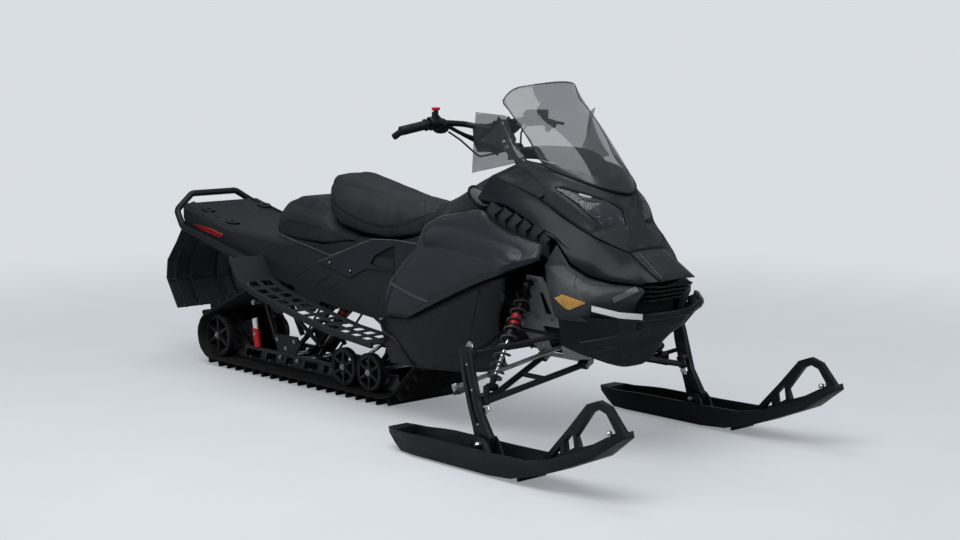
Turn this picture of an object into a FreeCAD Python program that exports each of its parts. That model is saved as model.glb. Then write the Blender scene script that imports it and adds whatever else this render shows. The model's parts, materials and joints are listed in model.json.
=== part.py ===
import FreeCAD, Part
import math
import os

# Snowmobile. Millimetres; +X forward, +Y to the rider's left, +Z up.
# X = 0 is the middle of the overall length, Y = 0 the centre plane, Z = 0 the floor it stands on.

os.makedirs("parts", exist_ok=True)
V = FreeCAD.Vector

# ---------------------------------------------------------------- driving dimensions
# track loop and what it runs round
TRACK_WIDTH = 381
BELT_THICKNESS = 8
LUG_HEIGHT = 32
LUG_COUNT = 54
LUG_FOOT = 26
LUG_TIP = 10
LUG_INSET = 22
BELT_FLOOR = LUG_HEIGHT + BELT_THICKNESS
REAR_AXLE_X = -1222
REAR_WHEEL_R = 95
IDLER_R = 78
IDLER_X = (-333, -170)
RAIL_NOSE_X = -85
RAIL_NOSE_R = 180
DRIVE_X = 165
DRIVE_Z = 335
SPROCKET_R = 88
TOP_WHEEL_X = -885
TOP_WHEEL_Z = 322
TOP_WHEEL_R = 62
WHEEL_WIDTH = 26
WHEEL_RIM = 15
WHEEL_HUB_R = 26
WHEEL_SPOKE = 11
WHEEL_OUT_Y = 140
WHEEL_IN_Y = 62
RUN = 0.6                      # running clearance between wheels, rails and belt
AXLE_R = 11
RAIL_Y = 98
RAIL_WIDTH = 14
RAIL_HEIGHT = 66
ARM_PIVOT_FRONT = (-20, 352)
ARM_PIVOT_REAR = (-475, 358)
ARM_FOOT_FRONT_X = -250
ARM_FOOT_REAR_X = -820
SHOCK_FOOT_FRONT_X = -455
SHOCK_FOOT_REAR_X = -700
ARM_Y = 58
ARM_R = 11
TRACK_SHOCK_R = 21

# tunnel and what it carries
TUNNEL_WALL = 3
TUNNEL_GAP = 9.5
TUNNEL_HALF = TRACK_WIDTH / 2 + TUNNEL_GAP + TUNNEL_WALL
TUNNEL_CHAMFER = 16
BOARD_OUT_Y = 375
BOARD_THICKNESS = 5
BOARD_RAIL = 16
BUMPER_R = 14
FLAP_HALF = 192
FLAP_THICKNESS = 7
CONSOLE_HALF = 196
ANCHOR_R = 30
ANCHOR_BORE_R = 11
ANCHOR_HEIGHT = 9
ANCHOR_Y = 148

# front end
SKI_STANCE = 1077
SKI_WIDTH = 145
SKI_WALL = 9
SKI_FLOOR = 12
KEEL_DEPTH = 8
SKI_BOLT_X = 927
SKI_BOLT_Z = 88
SKI_BOLT_R = 8
EAR_Y = 26
EAR_THICKNESS = 8
LOOP_THICKNESS = 22
KINGPIN_Y = SKI_STANCE / 2 - 34
UPPER_JOINT = (822, 372)
LOWER_JOINT = (883, 217)
BALL_GAP = 2
PIN_GAP = 0.05
HOUSING_R = 16
HOUSING_HALF = 13
STUD_R = 7
LUG_THICKNESS = 14
LEG_HALF = 12
ARM_TUBE_R = 11
UPPER_TUBE_R = 9
# arm pivots on the frame: front x, rear x, z
LOWER_PIVOTS = (966, 765, 305)
UPPER_PIVOTS = (972, 690, 425)
SHOCK_TOP = (798, 218, 580)
SHOCK_LOW = (842, 436, 252)
SHOCK_R = 17
SHOCK_PIN_R = 6
SLEEVE_HALF = 14
SLEEVE_WALL = 5
SLEEVE_GAP = 8                 # from the frame plate to an arm's pivot sleeve
TAB_THICKNESS = 5
ARM_BOLT_R = 6
SPRING_R = 25
SPRING_WIRE = 4.5
SPRING_TURNS = 7

# steering
STEER_ARM = 124
STEER_EYE_T = 0.47             # how far up the kingpin the leg's steering arm sits
TIE_CENTRE = (862, 394)        # where both tie rods meet the centre arm
TIE_LEVEL = 22                 # the two rods' eyes sit this far above and below that point
TIE_ROD_R = 8
TIE_PIN_R = 6
TIE_EYE_R = 12
TIE_EYE_HALF = 12
POST_TOP = (448, 1092)
POST_LEAN = 33
POST_R = 15
POST_LENGTH = 300
POST_SOCKET = 34               # radius of the way through the bodywork for the post and its cables
BAR_R = 11
BAR_HALF = 385
GRIP_R = 17
CABLE_R = 3.5

# bodywork
PANEL = 4
LENS_WALL = 2.5
SEAM = 3


# ---------------------------------------------------------------- shape helpers
def box(x0, x1, y0, y1, z0, z1):
    return Part.makeBox(x1 - x0, y1 - y0, z1 - z0, V(x0, y0, z0))


def rod(a, b, r):
    a, b = V(*a), V(*b)
    return Part.makeCylinder(r, (b - a).Length, a, b - a)


def disc(x, z, y0, y1, r):
    return Part.makeCylinder(r, y1 - y0, V(x, y0, z), V(0, 1, 0))


def face_of(points):
    return Part.Face(Part.makePolygon([V(*p) for p in points] + [V(*points[0])]))


def side_plate(outline, y0, y1):
    """Prism of an (x, z) outline between two y planes."""
    return face_of([(x, y0, z) for x, z in outline]).extrude(V(0, y1 - y0, 0))


def flat_plate(outline, z0, z1):
    """Prism of an (x, y) outline between two heights."""
    return face_of([(x, y, z0) for x, y in outline]).extrude(V(0, 0, z1 - z0))


def mirrored(shape):
    return shape.mirror(V(0, 0, 0), V(0, 1, 0))


def pair(shape):
    return Part.makeCompound([shape, mirrored(shape)])


def fused(shapes):
    return shapes[0].multiFuse(shapes[1:]).removeSplitter()


def flip_y(points):
    return [(x, -y, z) for x, y, z in points]


def across(half):
    """Whole row from a half one that starts on the centre plane."""
    return flip_y(reversed(half[1:])) + list(half)


def toward(p, q, distance):
    """Point p moved toward q by a distance."""
    p, q = V(*p), V(*q)
    return tuple(p + (q - p).normalize() * distance)


def facets(corners):
    """A quad as two triangles split on its shorter diagonal, or as itself when flat."""
    a, b, c, d = corners
    normal = (b - a).cross(c - a)
    if normal.Length > 1e-6 and abs(normal.normalize().dot(d - a)) < 1e-6:
        return [corners]
    if (a - c).Length <= (b - d).Length:
        return [[a, b, c], [a, c, d]]
    return [[a, b, d], [b, c, d]]


def solid_of(polygons):
    """Solid from closed planar polygons that share their edges."""
    shell = Part.Shell([Part.Face(Part.makePolygon(p + [p[0]])) for p in polygons])
    solid = Part.Solid(shell)
    if solid.Volume < 0:
        solid.reverse()
    return solid


def skin(rows):
    """Solid through closed polygons of equal point count, with flat facets between them."""
    rows = [[V(*p) for p in row] for row in rows]
    polygons = [list(reversed(rows[0])), rows[-1]]
    count = len(rows[0])
    for near, far in zip(rows, rows[1:]):
        for i in range(count):
            j = (i + 1) % count
            if (near[i] - near[j]).Length < 1e-6 or (far[i] - far[j]).Length < 1e-6:
                continue
            polygons += facets([near[i], near[j], far[j], far[i]])
    return solid_of(polygons)


def moulding(grid, wall, omit=()):
    """Sheet moulding of one wall thickness behind a grid of points; cells in omit are openings."""
    grid = [[V(*p) for p in row] for row in grid]
    outer = []
    for i in range(len(grid) - 1):
        for j in range(len(grid[0]) - 1):
            if (i, j) in omit:
                continue
            corners = [(i, j), (i, j + 1), (i + 1, j + 1), (i + 1, j)]
            a, b, c, d = [grid[r][s] for r, s in corners]
            if (a - c).Length <= (b - d).Length:
                outer += [[corners[0], corners[1], corners[2]], [corners[0], corners[2], corners[3]]]
            else:
                outer += [[corners[0], corners[1], corners[3]], [corners[1], corners[2], corners[3]]]
    normals = {}
    for tri in outer:
        a, b, c = [grid[r][s] for r, s in tri]
        unit = (b - a).cross(c - a).normalize()
        for key in tri:
            normals.setdefault(key, []).append(unit)
    inner = {}
    for key, units in normals.items():
        mean = V(0, 0, 0)
        for unit in units:
            mean += unit
        mean.normalize()
        reach = wall / max(0.5, sum(mean.dot(unit) for unit in units) / len(units))
        inner[key] = grid[key[0]][key[1]] - mean * reach
    at = lambda key: grid[key[0]][key[1]]
    polygons = [[at(k) for k in tri] for tri in outer] + [[inner[k] for k in reversed(tri)] for tri in outer]
    edges = [(tri[k], tri[(k + 1) % 3]) for tri in outer for k in range(3)]
    for a, b in edges:
        if (b, a) not in edges:
            polygons += facets([at(b), at(a), inner[a], inner[b]])
    return solid_of(polygons)


def bent_path(points, bend):
    """Wire of straight runs joined by tangent arcs of one radius."""
    pts = [V(*p) for p in points]
    edges = []
    start = pts[0]
    for before, corner, after in zip(pts, pts[1:], pts[2:]):
        d0 = (corner - before).normalize()
        d1 = (after - corner).normalize()
        turn = d0.getAngle(d1)
        cut = bend * math.tan(turn / 2)
        a = corner - d0 * cut
        b = corner + d1 * cut
        inward = (d1 - d0).normalize()
        centre = corner + inward * (bend / math.cos(turn / 2))
        edges.append(Part.LineSegment(start, a).toShape())
        edges.append(Part.Arc(a, centre - inward * bend, b).toShape())
        start = b
    edges.append(Part.LineSegment(start, pts[-1]).toShape())
    return Part.Wire(edges)


def bent_tube(points, r, bend):
    ring = Part.Wire(Part.makeCircle(r, V(*points[0]), V(*points[1]) - V(*points[0])))
    return bent_path(points, bend).makePipeShell([ring], True, False)


def coil(a, b, r, wire, turns):
    """Open coil spring about the line from a to b, with flat-sided wire."""
    a, b = V(*a), V(*b)
    axis = (b - a).normalize()
    u = axis.cross(V(0, 1, 0)).normalize()
    v = axis.cross(u)
    steps = 12 * turns
    rows = []
    for k in range(steps + 1):
        turn = 2 * math.pi * k / 12
        out = u * math.cos(turn) + v * math.sin(turn)
        spot = a + axis * (wire + ((b - a).Length - 2 * wire) * k / steps) + out * (r - wire)
        rows.append([spot + out * wire, spot + axis * wire, spot - out * wire, spot - axis * wire])
    return skin(rows)

# kingpin axis, and the direction across it that points forward
_rise = math.hypot(UPPER_JOINT[0] - LOWER_JOINT[0], UPPER_JOINT[1] - LOWER_JOINT[1])
KINGPIN = V((UPPER_JOINT[0] - LOWER_JOINT[0]) / _rise, 0, (UPPER_JOINT[1] - LOWER_JOINT[1]) / _rise)
FORWARD = V(KINGPIN.z, 0, -KINGPIN.x)


def kingpin_point(t, along=0):
    """Point on the left kingpin axis, t from the lower joint (0) to the upper (1)."""
    x, z = (a + (b - a) * t for a, b in zip(LOWER_JOINT, UPPER_JOINT))
    return V(x, KINGPIN_Y, z) + KINGPIN * along


TIE_EYE = tuple(kingpin_point(STEER_EYE_T) - FORWARD * STEER_ARM)
STEER_PIVOT = (TIE_CENTRE[0] + FORWARD.x * STEER_ARM, TIE_CENTRE[1] + FORWARD.z * STEER_ARM)


def post_point(down, forward=0, side=0):
    """Point beside the steering post, a distance down it from its top."""
    lean = math.radians(POST_LEAN)
    x = POST_TOP[0] + down * math.sin(lean) + forward * math.cos(lean)
    return (x, side, POST_TOP[1] - down * math.cos(lean) + forward * math.sin(lean))


# ---------------------------------------------------------------- track and its wheels
class Loop:
    """Belt path around circles (x, z, r), run forward along the floor and back over the top."""

    def __init__(self, circles):
        self.parts = []
        count = len(circles)
        normals = []
        for i in range(count):
            x0, z0, r0 = circles[i]
            x1, z1, r1 = circles[(i + 1) % count]
            heading = math.atan2(z1 - z0, x1 - x0)
            normals.append(heading - math.acos((r0 - r1) / math.hypot(x1 - x0, z1 - z0)))
        for i in range(count):
            x0, z0, r0 = circles[i]
            x1, z1, r1 = circles[(i + 1) % count]
            a0, a1 = normals[i - 1], normals[i]
            while a1 < a0:
                a1 += 2 * math.pi
            self.parts.append(("arc", x0, z0, r0, a0, a1, r0 * (a1 - a0)))
            n = normals[i]
            sx, sz = x0 + r0 * math.cos(n), z0 + r0 * math.sin(n)
            ex, ez = x1 + r1 * math.cos(n), z1 + r1 * math.sin(n)
            self.parts.append(("line", sx, sz, ex, ez, n, math.hypot(ex - sx, ez - sz)))
        self.length = sum(p[6] for p in self.parts)

    def at(self, s, out):
        """Point at distance s along the path, moved outward by out."""
        s %= self.length
        for kind, *q, span in self.parts:
            if s <= span:
                break
            s -= span
        if kind == "arc":
            x, z, r, a0, a1 = q
            a = a0 + s / r
            return x + (r + out) * math.cos(a), z + (r + out) * math.sin(a)
        sx, sz, ex, ez, n = q
        t = s / span
        return sx + (ex - sx) * t + out * math.cos(n), sz + (ez - sz) * t + out * math.sin(n)

    def wire(self, y):
        edges = []
        for kind, *q, span in self.parts:
            if kind == "line":
                edges.append(Part.makeLine(V(q[0], y, q[1]), V(q[2], y, q[3])))
            else:
                x, z, r, a0, a1 = q
                spots = [V(x + r * math.cos(a), y, z + r * math.sin(a)) for a in (a0, (a0 + a1) / 2, a1)]
                edges.append(Part.Arc(*spots).toShape())
        return Part.Wire(edges)


REAR_WHEEL_Z = BELT_FLOOR + REAR_WHEEL_R
IDLER_Z = BELT_FLOOR + IDLER_R
RAIL_Z = BELT_FLOOR + RUN
FOOT_Z = RAIL_Z + RAIL_HEIGHT / 2 + 12
loop = Loop([
    (REAR_AXLE_X, REAR_WHEEL_Z, REAR_WHEEL_R),
    (RAIL_NOSE_X, BELT_FLOOR + RAIL_NOSE_R, RAIL_NOSE_R),
    (DRIVE_X, DRIVE_Z, SPROCKET_R),
    (TOP_WHEEL_X, TOP_WHEEL_Z, TOP_WHEEL_R),
])
print("track loop length", round(loop.length, 1))


def track():
    """Belt with its cross lugs, which stop short of its edges."""
    pitch = loop.length / LUG_COUNT
    belt, lugs = [], []
    for k in range(LUG_COUNT):
        s = (k + 0.5) * pitch
        feet = [loop.at(s + side * LUG_FOOT / 2, BELT_THICKNESS) for side in (-1, 1)]
        tips = [loop.at(s + side * LUG_TIP / 2, BELT_THICKNESS + LUG_HEIGHT) for side in (-1, 1)]
        belt += feet
        lugs += [feet[0], tips[0], tips[1], feet[1]]
    half = TRACK_WIDTH / 2
    lug_half = half - LUG_INSET
    inner = Part.Face(loop.wire(-half - 1)).extrude(V(0, TRACK_WIDTH + 2, 0))
    return side_plate(belt, -half, half).fuse(side_plate(lugs, -lug_half, lug_half)).cut(inner)


def wheel(x, z, r, y, spokes=0):
    """Wheel centred on y, bored for its axle, with windows between its spokes."""
    half = WHEEL_WIDTH / 2
    body = disc(x, z, y - half, y + half, r - RUN)
    cuts = [disc(x, z, y - half - 1, y + half + 1, AXLE_R)]
    for k in range(spokes):
        centre = 2 * math.pi * k / spokes
        rows = []
        for reach in (WHEEL_HUB_R, r - WHEEL_RIM):
            swing = math.pi / spokes - math.asin(WHEEL_SPOKE / 2 / reach)
            rows.append([(x + reach * math.cos(centre + s), z + reach * math.sin(centre + s))
                         for s in (-swing, swing)])
        window = [rows[0][0], rows[0][1], rows[1][1], rows[1][0]]
        cuts.append(side_plate(window, y - half - 1, y + half + 1))
    return body.cut(Part.makeCompound(cuts))


# wheel sets: x, z, radius, distance from the centre plane, spokes
REAR_SET = [(REAR_AXLE_X, REAR_WHEEL_Z, REAR_WHEEL_R, WHEEL_OUT_Y, 6),
            (REAR_AXLE_X, REAR_WHEEL_Z, REAR_WHEEL_R, WHEEL_IN_Y, 0)]
IDLER_SET = [(x, IDLER_Z, IDLER_R, WHEEL_OUT_Y, 6) for x in IDLER_X] + [
    (TOP_WHEEL_X, TOP_WHEEL_Z, TOP_WHEEL_R, WHEEL_IN_Y, 0)]


def wheel_set(rows):
    return Part.makeCompound([wheel(x, z, r, side * y, n) for x, z, r, y, n in rows for side in (-1, 1)])


def cross_shaft(x, z, half, r=AXLE_R):
    return disc(x, z, -half, half, r)


def rail_axles():
    """Wheel axles and the two shafts that the arms and shocks stand on, all across the rails."""
    out = WHEEL_OUT_Y + WHEEL_WIDTH / 2
    rows = [cross_shaft(x, z, out) for x, z in AXLES]
    rows += [cross_shaft(x, FOOT_Z, RAIL_Y + RAIL_WIDTH / 2) for x in FEET]
    rows.append(cross_shaft(TOP_WHEEL_X, TOP_WHEEL_Z, TUNNEL_HALF - TUNNEL_WALL))
    return Part.makeCompound(rows)


AXLES = ((REAR_AXLE_X, REAR_WHEEL_Z), (IDLER_X[0], IDLER_Z), (IDLER_X[1], IDLER_Z))
FEET = (ARM_FOOT_FRONT_X, ARM_FOOT_REAR_X, SHOCK_FOOT_FRONT_X, SHOCK_FOOT_REAR_X)
RAIL_WINDOWS = ((-1080, -960), (-930, -850), (-790, -730), (-660, -560), (-530, -485))


def slide_rails():
    """Extruded rails with lightening windows, turned up at the front to meet the belt."""
    z0, z1 = RAIL_Z, RAIL_Z + RAIL_HEIGHT
    outline = [
        (REAR_AXLE_X - 20, z0 + 30), (REAR_AXLE_X + 60, z0), (RAIL_NOSE_X - 20, z0), (RAIL_NOSE_X + 55, z0 + 22),
        (RAIL_NOSE_X + 40, z1 + 12), (RAIL_NOSE_X - 60, z1), (REAR_AXLE_X + 180, z1), (REAR_AXLE_X + 120, z1 + 45),
        (REAR_AXLE_X - 20, z1 + 45),
    ]
    y0, y1 = RAIL_Y - RAIL_WIDTH / 2, RAIL_Y + RAIL_WIDTH / 2
    cuts = [disc(x, z, y0 - 1, y1 + 1, AXLE_R) for x, z in AXLES + tuple((x, FOOT_Z) for x in FEET)]
    for x0, x1 in RAIL_WINDOWS:
        window = [(x0, z0 + 18), (x1 - 12, z0 + 18), (x1, z1 - 16), (x0 + 12, z1 - 16)]
        cuts.append(side_plate(window, y0 - 1, y1 + 1))
    return pair(side_plate(outline, y0, y1).cut(Part.makeCompound(cuts)))


def drive_axle():
    shaft = cross_shaft(DRIVE_X, DRIVE_Z, TUNNEL_HALF - TUNNEL_WALL)
    rows = [disc(DRIVE_X, DRIVE_Z, side * 70 - 18, side * 70 + 18, SPROCKET_R - RUN) for side in (-1, 1)]
    return fused([shaft] + rows)


def drop_arm(pivot, foot_x):
    """Two tubes from a cross tube in the tunnel down to a shaft in the rails."""
    top = cross_shaft(*pivot, TUNNEL_HALF - TUNNEL_WALL)
    shapes = [top]
    for side in (-1, 1):
        y = side * ARM_Y
        shapes.append(rod((pivot[0], y, pivot[1]), (foot_x, y, FOOT_Z), ARM_R))
        shapes.append(disc(foot_x, FOOT_Z, y - 16, y + 16, AXLE_R + 7))
    arm = fused(shapes)
    return arm.cut(cross_shaft(foot_x, FOOT_Z, RAIL_Y))


def track_arms():
    return Part.makeCompound([drop_arm(ARM_PIVOT_FRONT, ARM_FOOT_FRONT_X),
                              drop_arm(ARM_PIVOT_REAR, ARM_FOOT_REAR_X)])


def track_shock(pivot, foot_x):
    """Damper between a cross tube and a rail shaft, with an eye on each."""
    top, low = V(pivot[0], 0, pivot[1]), V(foot_x, 0, FOOT_Z)
    run = low - top
    shapes = [disc(p.x, p.z, -15, 15, AXLE_R + 8) for p in (top, low)]
    shapes.append(rod(top + run * 0.06, top + run * 0.55, TRACK_SHOCK_R))
    shapes.append(rod(top + run * 0.5, low, 8))
    shock = fused(shapes)
    return shock.cut(Part.makeCompound([cross_shaft(p.x, p.z, 30) for p in (top, low)]))


def track_shocks():
    return Part.makeCompound([track_shock(ARM_PIVOT_FRONT, SHOCK_FOOT_FRONT_X),
                              track_shock(ARM_PIVOT_REAR, SHOCK_FOOT_REAR_X)])


# ---------------------------------------------------------------- tunnel group
# top line of the tunnel, rear to front, and its lower line, front to rear
TUNNEL_TOP = [(-1395, 705), (-1165, 652), (-1030, 625), (-700, 606), (215, 606)]
PIVOT_DROP = 26                # how far the tunnel's side reaches round an arm's pivot
TUNNEL_LOW = [(215, 300), (30, 318), (ARM_PIVOT_FRONT[0], ARM_PIVOT_FRONT[1] - PIVOT_DROP), (-75, 352),
              (-411, 380), (ARM_PIVOT_REAR[0] + PIVOT_DROP, ARM_PIVOT_REAR[1] - PIVOT_DROP),
              (ARM_PIVOT_REAR[0] - PIVOT_DROP, ARM_PIVOT_REAR[1] - PIVOT_DROP), (-591, 423), (-907, 461),
              (-1290, 560), (-1395, 640)]


def tunnel():
    """Folded sheet: deck and two sides, with the deck's edges broken."""
    half = TUNNEL_HALF
    outer = side_plate(TUNNEL_TOP + TUNNEL_LOW, -half, half)
    inner_half = half - TUNNEL_WALL
    lowered = [(x, z - TUNNEL_WALL) for x, z in TUNNEL_TOP]
    lowered = [(lowered[0][0] - 1, lowered[0][1])] + lowered[1:-1] + [(lowered[-1][0] + 1, lowered[-1][1])]
    inner = side_plate(lowered + [(216, 250), (-1396, 250)], -inner_half, inner_half)
    brim = TUNNEL_CHAMFER
    for shape, wide, lift in ((outer, half, 0), (inner, inner_half, TUNNEL_WALL)):
        corner = [(wide - brim, 1 - lift), (wide + 1, 1 - lift), (wide + 1, -brim - lift), (wide, -brim - lift),
                  (wide - brim, -lift)]
        rows = [[(x, y, z + dz) for y, dz in corner] for x, z in
                [(TUNNEL_TOP[0][0] - 2, TUNNEL_TOP[0][1])] + TUNNEL_TOP[1:-1] + [(TUNNEL_TOP[-1][0] + 2, TUNNEL_TOP[-1][1])]]
        edge = skin(rows)
        if shape is outer:
            outer = outer.cut(edge).cut(mirrored(edge))
        else:
            inner = inner.cut(edge).cut(mirrored(edge))
    return outer.cut(inner)


def cargo_anchors():
    """Four sockets for luggage on the tunnel's rear deck, square to the deck under them."""
    rows = []
    for i in (0, 1):
        (x0, z0), (x1, z1) = TUNNEL_TOP[i], TUNNEL_TOP[i + 1]
        up = V(z0 - z1, 0, x1 - x0).normalize()
        for side in (-1, 1):
            base = V((x0 + x1) / 2, side * ANCHOR_Y, (z0 + z1) / 2)
            ring = rod(base, base + up * ANCHOR_HEIGHT, ANCHOR_R)
            rows.append(ring.cut(rod(base - up, base + up * (ANCHOR_HEIGHT + 1), ANCHOR_BORE_R)))
    return Part.makeCompound(rows)


# running board's top line, rear to front
BOARD_LINE = [(-800, 533), (-740, 450), (-640, 412), (-540, 390), (-350, 352), (-150, 318), (118, 295)]
SLOT_PITCH = 66
SLOT_LENGTH = 44
SLOT_ROWS = ((232, 282), (300, 346))


def running_board():
    """Open grating between the tunnel's side and an outer rail."""
    low = [(x, z - BOARD_THICKNESS) for x, z in reversed(BOARD_LINE)]
    board = side_plate(BOARD_LINE + low, TUNNEL_HALF, BOARD_OUT_Y)
    slots = []
    for k in range(12):
        x0 = -716 + k * SLOT_PITCH
        slots += [box(x0, x0 + SLOT_LENGTH, y0, y1, 200, 560) for y0, y1 in SLOT_ROWS]
    high = [(x, z + BOARD_RAIL / 2) for x, z in BOARD_LINE]
    deep = [(x, z - BOARD_RAIL) for x, z in reversed(BOARD_LINE)]
    rail = side_plate(high + deep, BOARD_OUT_Y - BOARD_RAIL, BOARD_OUT_Y)
    return board.cut(Part.makeCompound(slots)).fuse(rail).removeSplitter()


def rear_bumper():
    """Grab bar from the tunnel's sides round the tail and up over the deck."""
    out = TUNNEL_HALF + BUMPER_R + 4
    side = [(-795, out, 487), (-1376, out, 606), (-1430, out - 7, 674), (-1458, 117, 740)]
    feet = [disc(x, z, y, y + 8, 11) for x, z in ((-806, 490), (-1330, 597)) for y in (TUNNEL_HALF, -TUNNEL_HALF - 8)]
    return fused([bent_tube(side + flip_y(reversed(side)), BUMPER_R, 40)] + feet)


REFLECTOR = [(-1308, 622), (-1170, 612), (-1089, 596), (-1104, 576), (-1270, 600)]


def tail_reflectors():
    """Red side reflectors on the tunnel and the tail lamp under the grab bar."""
    side = side_plate(REFLECTOR, TUNNEL_HALF, TUNNEL_HALF + 4)
    lamp = box(TUNNEL_TOP[0][0] - 14, TUNNEL_TOP[0][0], -70, 70, 662, 700)
    return Part.makeCompound([side, mirrored(side), lamp])


FLAP_LINE = [(-1398, 655), (-1402, 622), (-1470, 530), (-1548, 440), (-1560, 356), (-1475, 229)]
FLAP_RIB_Y = (70, 150)


def snow_flap():
    """Hung sheet with pressed ribs and turned-in sides."""
    back = [(x - FLAP_THICKNESS, z) for x, z in reversed(FLAP_LINE)]
    sheet = side_plate(FLAP_LINE + back, -FLAP_HALF, FLAP_HALF)
    inner = [(x + 10, z) for x, z in reversed(FLAP_LINE[1:])]
    rib = side_plate(FLAP_LINE[1:] + inner, -5, 5)
    ribs = [rib.translated(V(0, side * y, 0)) for y in FLAP_RIB_Y for side in (-1, 1)]
    return fused([sheet] + ribs)


# ---------------------------------------------------------------- seats, console and tank
# seat sections: x, top half width, top z, side half width, side z, foot half width, foot z
SEAT_ROWS = [
    (-470, 72, 876, 98, 846, 104, 806), (-446, 92, 890, 122, 842, 132, 772), (-400, 98, 882, 140, 826, 150, 716),
    (-350, 98, 870, 148, 812, 162, 690), (-200, 92, 838, 156, 780, 170, 664), (-47, 76, 812, 152, 764, 166, 654),
    (90, 56, 802, 120, 758, 132, 676), (168, 48, 800, 94, 764, 102, 712),
]
REAR_SEAT_ROWS = [
    (-782, 96, 705, 132, 682, 150, 640), (-745, 108, 752, 152, 705, 168, 624), (-642, 118, 782, 168, 715, 182, 612),
    (-520, 122, 780, 172, 710, 188, 609), (-486, 118, 768, 170, 706, 187, 609), (-440, 118, 748, 172, 700, 187, 609),
    (-400, 118, 706, 174, 690, 188, 610), (-365, 118, 682, 174, 670, 188, 612), (-218, 118, 654, 176, 649, 187, 641),
]


def cushion(rows):
    sections = []
    for x, a, zt, b, zs, c, zb in rows:
        half = [(0, zt), (a, zt), (b, zs), (c, zb), (0, zb)]
        sections.append([(x, y, z) for y, z in half] + [(x, -y, z) for y, z in reversed(half[1:-1])])
    return skin(sections)


# console sections: x, shoulder half width, shoulder z, foot half width, foot z
CONSOLE_ROWS = [
    (-330, 188, 614, CONSOLE_HALF, 609), (-214, 184, 637, CONSOLE_HALF, 609), (-206, 182, 656, CONSOLE_HALF, 609),
    (-47, 178, 646, CONSOLE_HALF, 609), (88, 158, 668, CONSOLE_HALF, 609), (150, 128, 696, CONSOLE_HALF, 609),
]
POCKET = [(-120, 640), (20, 640), (-10, 622), (-90, 622)]


def console():
    """Plastic body under the driver's seat, with a pocket pressed into each side."""
    body = skin([[(x, -b, zb), (x, b, zb), (x, a, zt), (x, -a, zt)] for x, a, zt, b, zb in CONSOLE_ROWS])
    pocket = side_plate(POCKET, CONSOLE_HALF - 16, CONSOLE_HALF + 1)
    return body.cut(pocket).cut(mirrored(pocket))


# tank sections: x, top half width, top z, side half width, side z, foot half width, foot z
TANK_ROWS = [
    (172, 72, 806, 150, 700, CONSOLE_HALF, 609), (240, 88, 822, 178, 735, 205, 640),
    (330, 104, 852, 196, 775, 214, 645), (440, 128, 905, 205, 800, 222, 690), (560, 150, 948, 214, 850, 228, 735),
    (590, 155, 955, 216, 860, 228, 750),
]


def fuel_tank():
    """Tank and its cover, with a socket for the steering post."""
    sections = []
    for x, a, zt, b, zs, c, zb in TANK_ROWS:
        half = [(0, zt), (a, zt - 4), (b, zs), (c, zb), (0, zb)]
        sections.append([(x, y, z) for y, z in half] + [(x, -y, z) for y, z in reversed(half[1:-1])])
    return skin(sections).cut(rod(post_point(-40), post_point(POST_LENGTH + 30), POST_SOCKET))


# ---------------------------------------------------------------- bodywork
# hood form, rear to front, from the centre plane outward:
# centre, cowl edge, lamp top, lamp foot, seam line, shoulder line, hem
HOOD = [
    [(690, 0, 966), (690, 122, 994), (668, 150, 982), (650, 172, 968), (612, 222, 940), (600, 272, 868),
     (610, 258, 850)],
    [(800, 0, 964), (800, 172, 986), (782, 184, 966), (768, 192, 950), (730, 216, 911), (734, 260, 855),
     (746, 246, 838)],
    [(925, 0, 934), (886, 170, 961), (896, 179, 920), (905, 188, 908), (852, 206, 870), (852, 250, 799),
     (864, 238, 782)],
    [(1008, 0, 902), (975, 122, 927), (975, 135, 896), (986, 169, 864), (945, 193, 815), (935, 232, 760),
     (962, 250, 746)],
    [(1063, 0, 884), (1045, 62, 893), (1043, 84, 876), (1036, 147, 819), (1007, 181, 784), (1010, 228, 712),
     (1030, 246, 674)],
    [(1068, 0, 838), (1069, 22, 841), (1075, 46, 844), (1050, 133, 801), (1042, 169, 766), (1049, 217, 697),
     (1060, 234, 657)],
    [(1089, 0, 797), (1091, 24, 795), (1096, 47, 791), (1062, 113, 786), (1077, 156, 747), (1088, 205, 680),
     (1090, 222, 638)],
    [(1162, 0, 711), (1161, 24, 711), (1160, 45, 710), (1155, 72, 708), (1151, 86, 705), (1156, 160, 640),
     (1158, 180, 619)],
    [(1302, 0, 628), (1300, 24, 628), (1298, 45, 627), (1291, 72, 625), (1286, 88, 622), (1245, 115, 616),
     (1238, 120, 611)],
]
LAMP_LINE = 2
LAMP_ROWS = (2, 3, 4, 5)
SEAM_LINE = 4
HEM_LINE = 6
NOSE_ROW = 7


def hood_lines(rows, first, last):
    """Part of the hood form between two of its lines, drawn back half a seam from its neighbours."""
    grid = []
    for row in rows:
        points = list(row[first:last + 1])
        if first > 0:
            points[0] = toward(points[0], points[1], SEAM / 2)
        else:
            points[-1] = toward(points[-1], points[-2], SEAM / 2)
        grid.append(points)
    return grid


def shortened(grid, row, onto):
    """Grid with one end row drawn back half a seam toward the next."""
    grid = [list(r) for r in grid]
    grid[row] = [toward(p, q, SEAM / 2) for p, q in zip(grid[row], grid[onto])]
    return grid


def hood():
    """Upper hood with an opening for each headlight."""
    grid = shortened(hood_lines(HOOD[:NOSE_ROW + 1], 0, SEAM_LINE), -1, -2)
    cells = [(i, j) for i in LAMP_ROWS for j in (SEAM_LINE + LAMP_LINE, SEAM_LINE - 1 - LAMP_LINE)]
    return moulding([across(row) for row in grid], PANEL, cells)


def nose_panel():
    grid = shortened(hood_lines(HOOD[NOSE_ROW:], 0, SEAM_LINE), 0, 1)
    return moulding([across(row) for row in grid], PANEL)


def hood_side():
    return moulding(hood_lines(HOOD, SEAM_LINE, HEM_LINE), PANEL)


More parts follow.
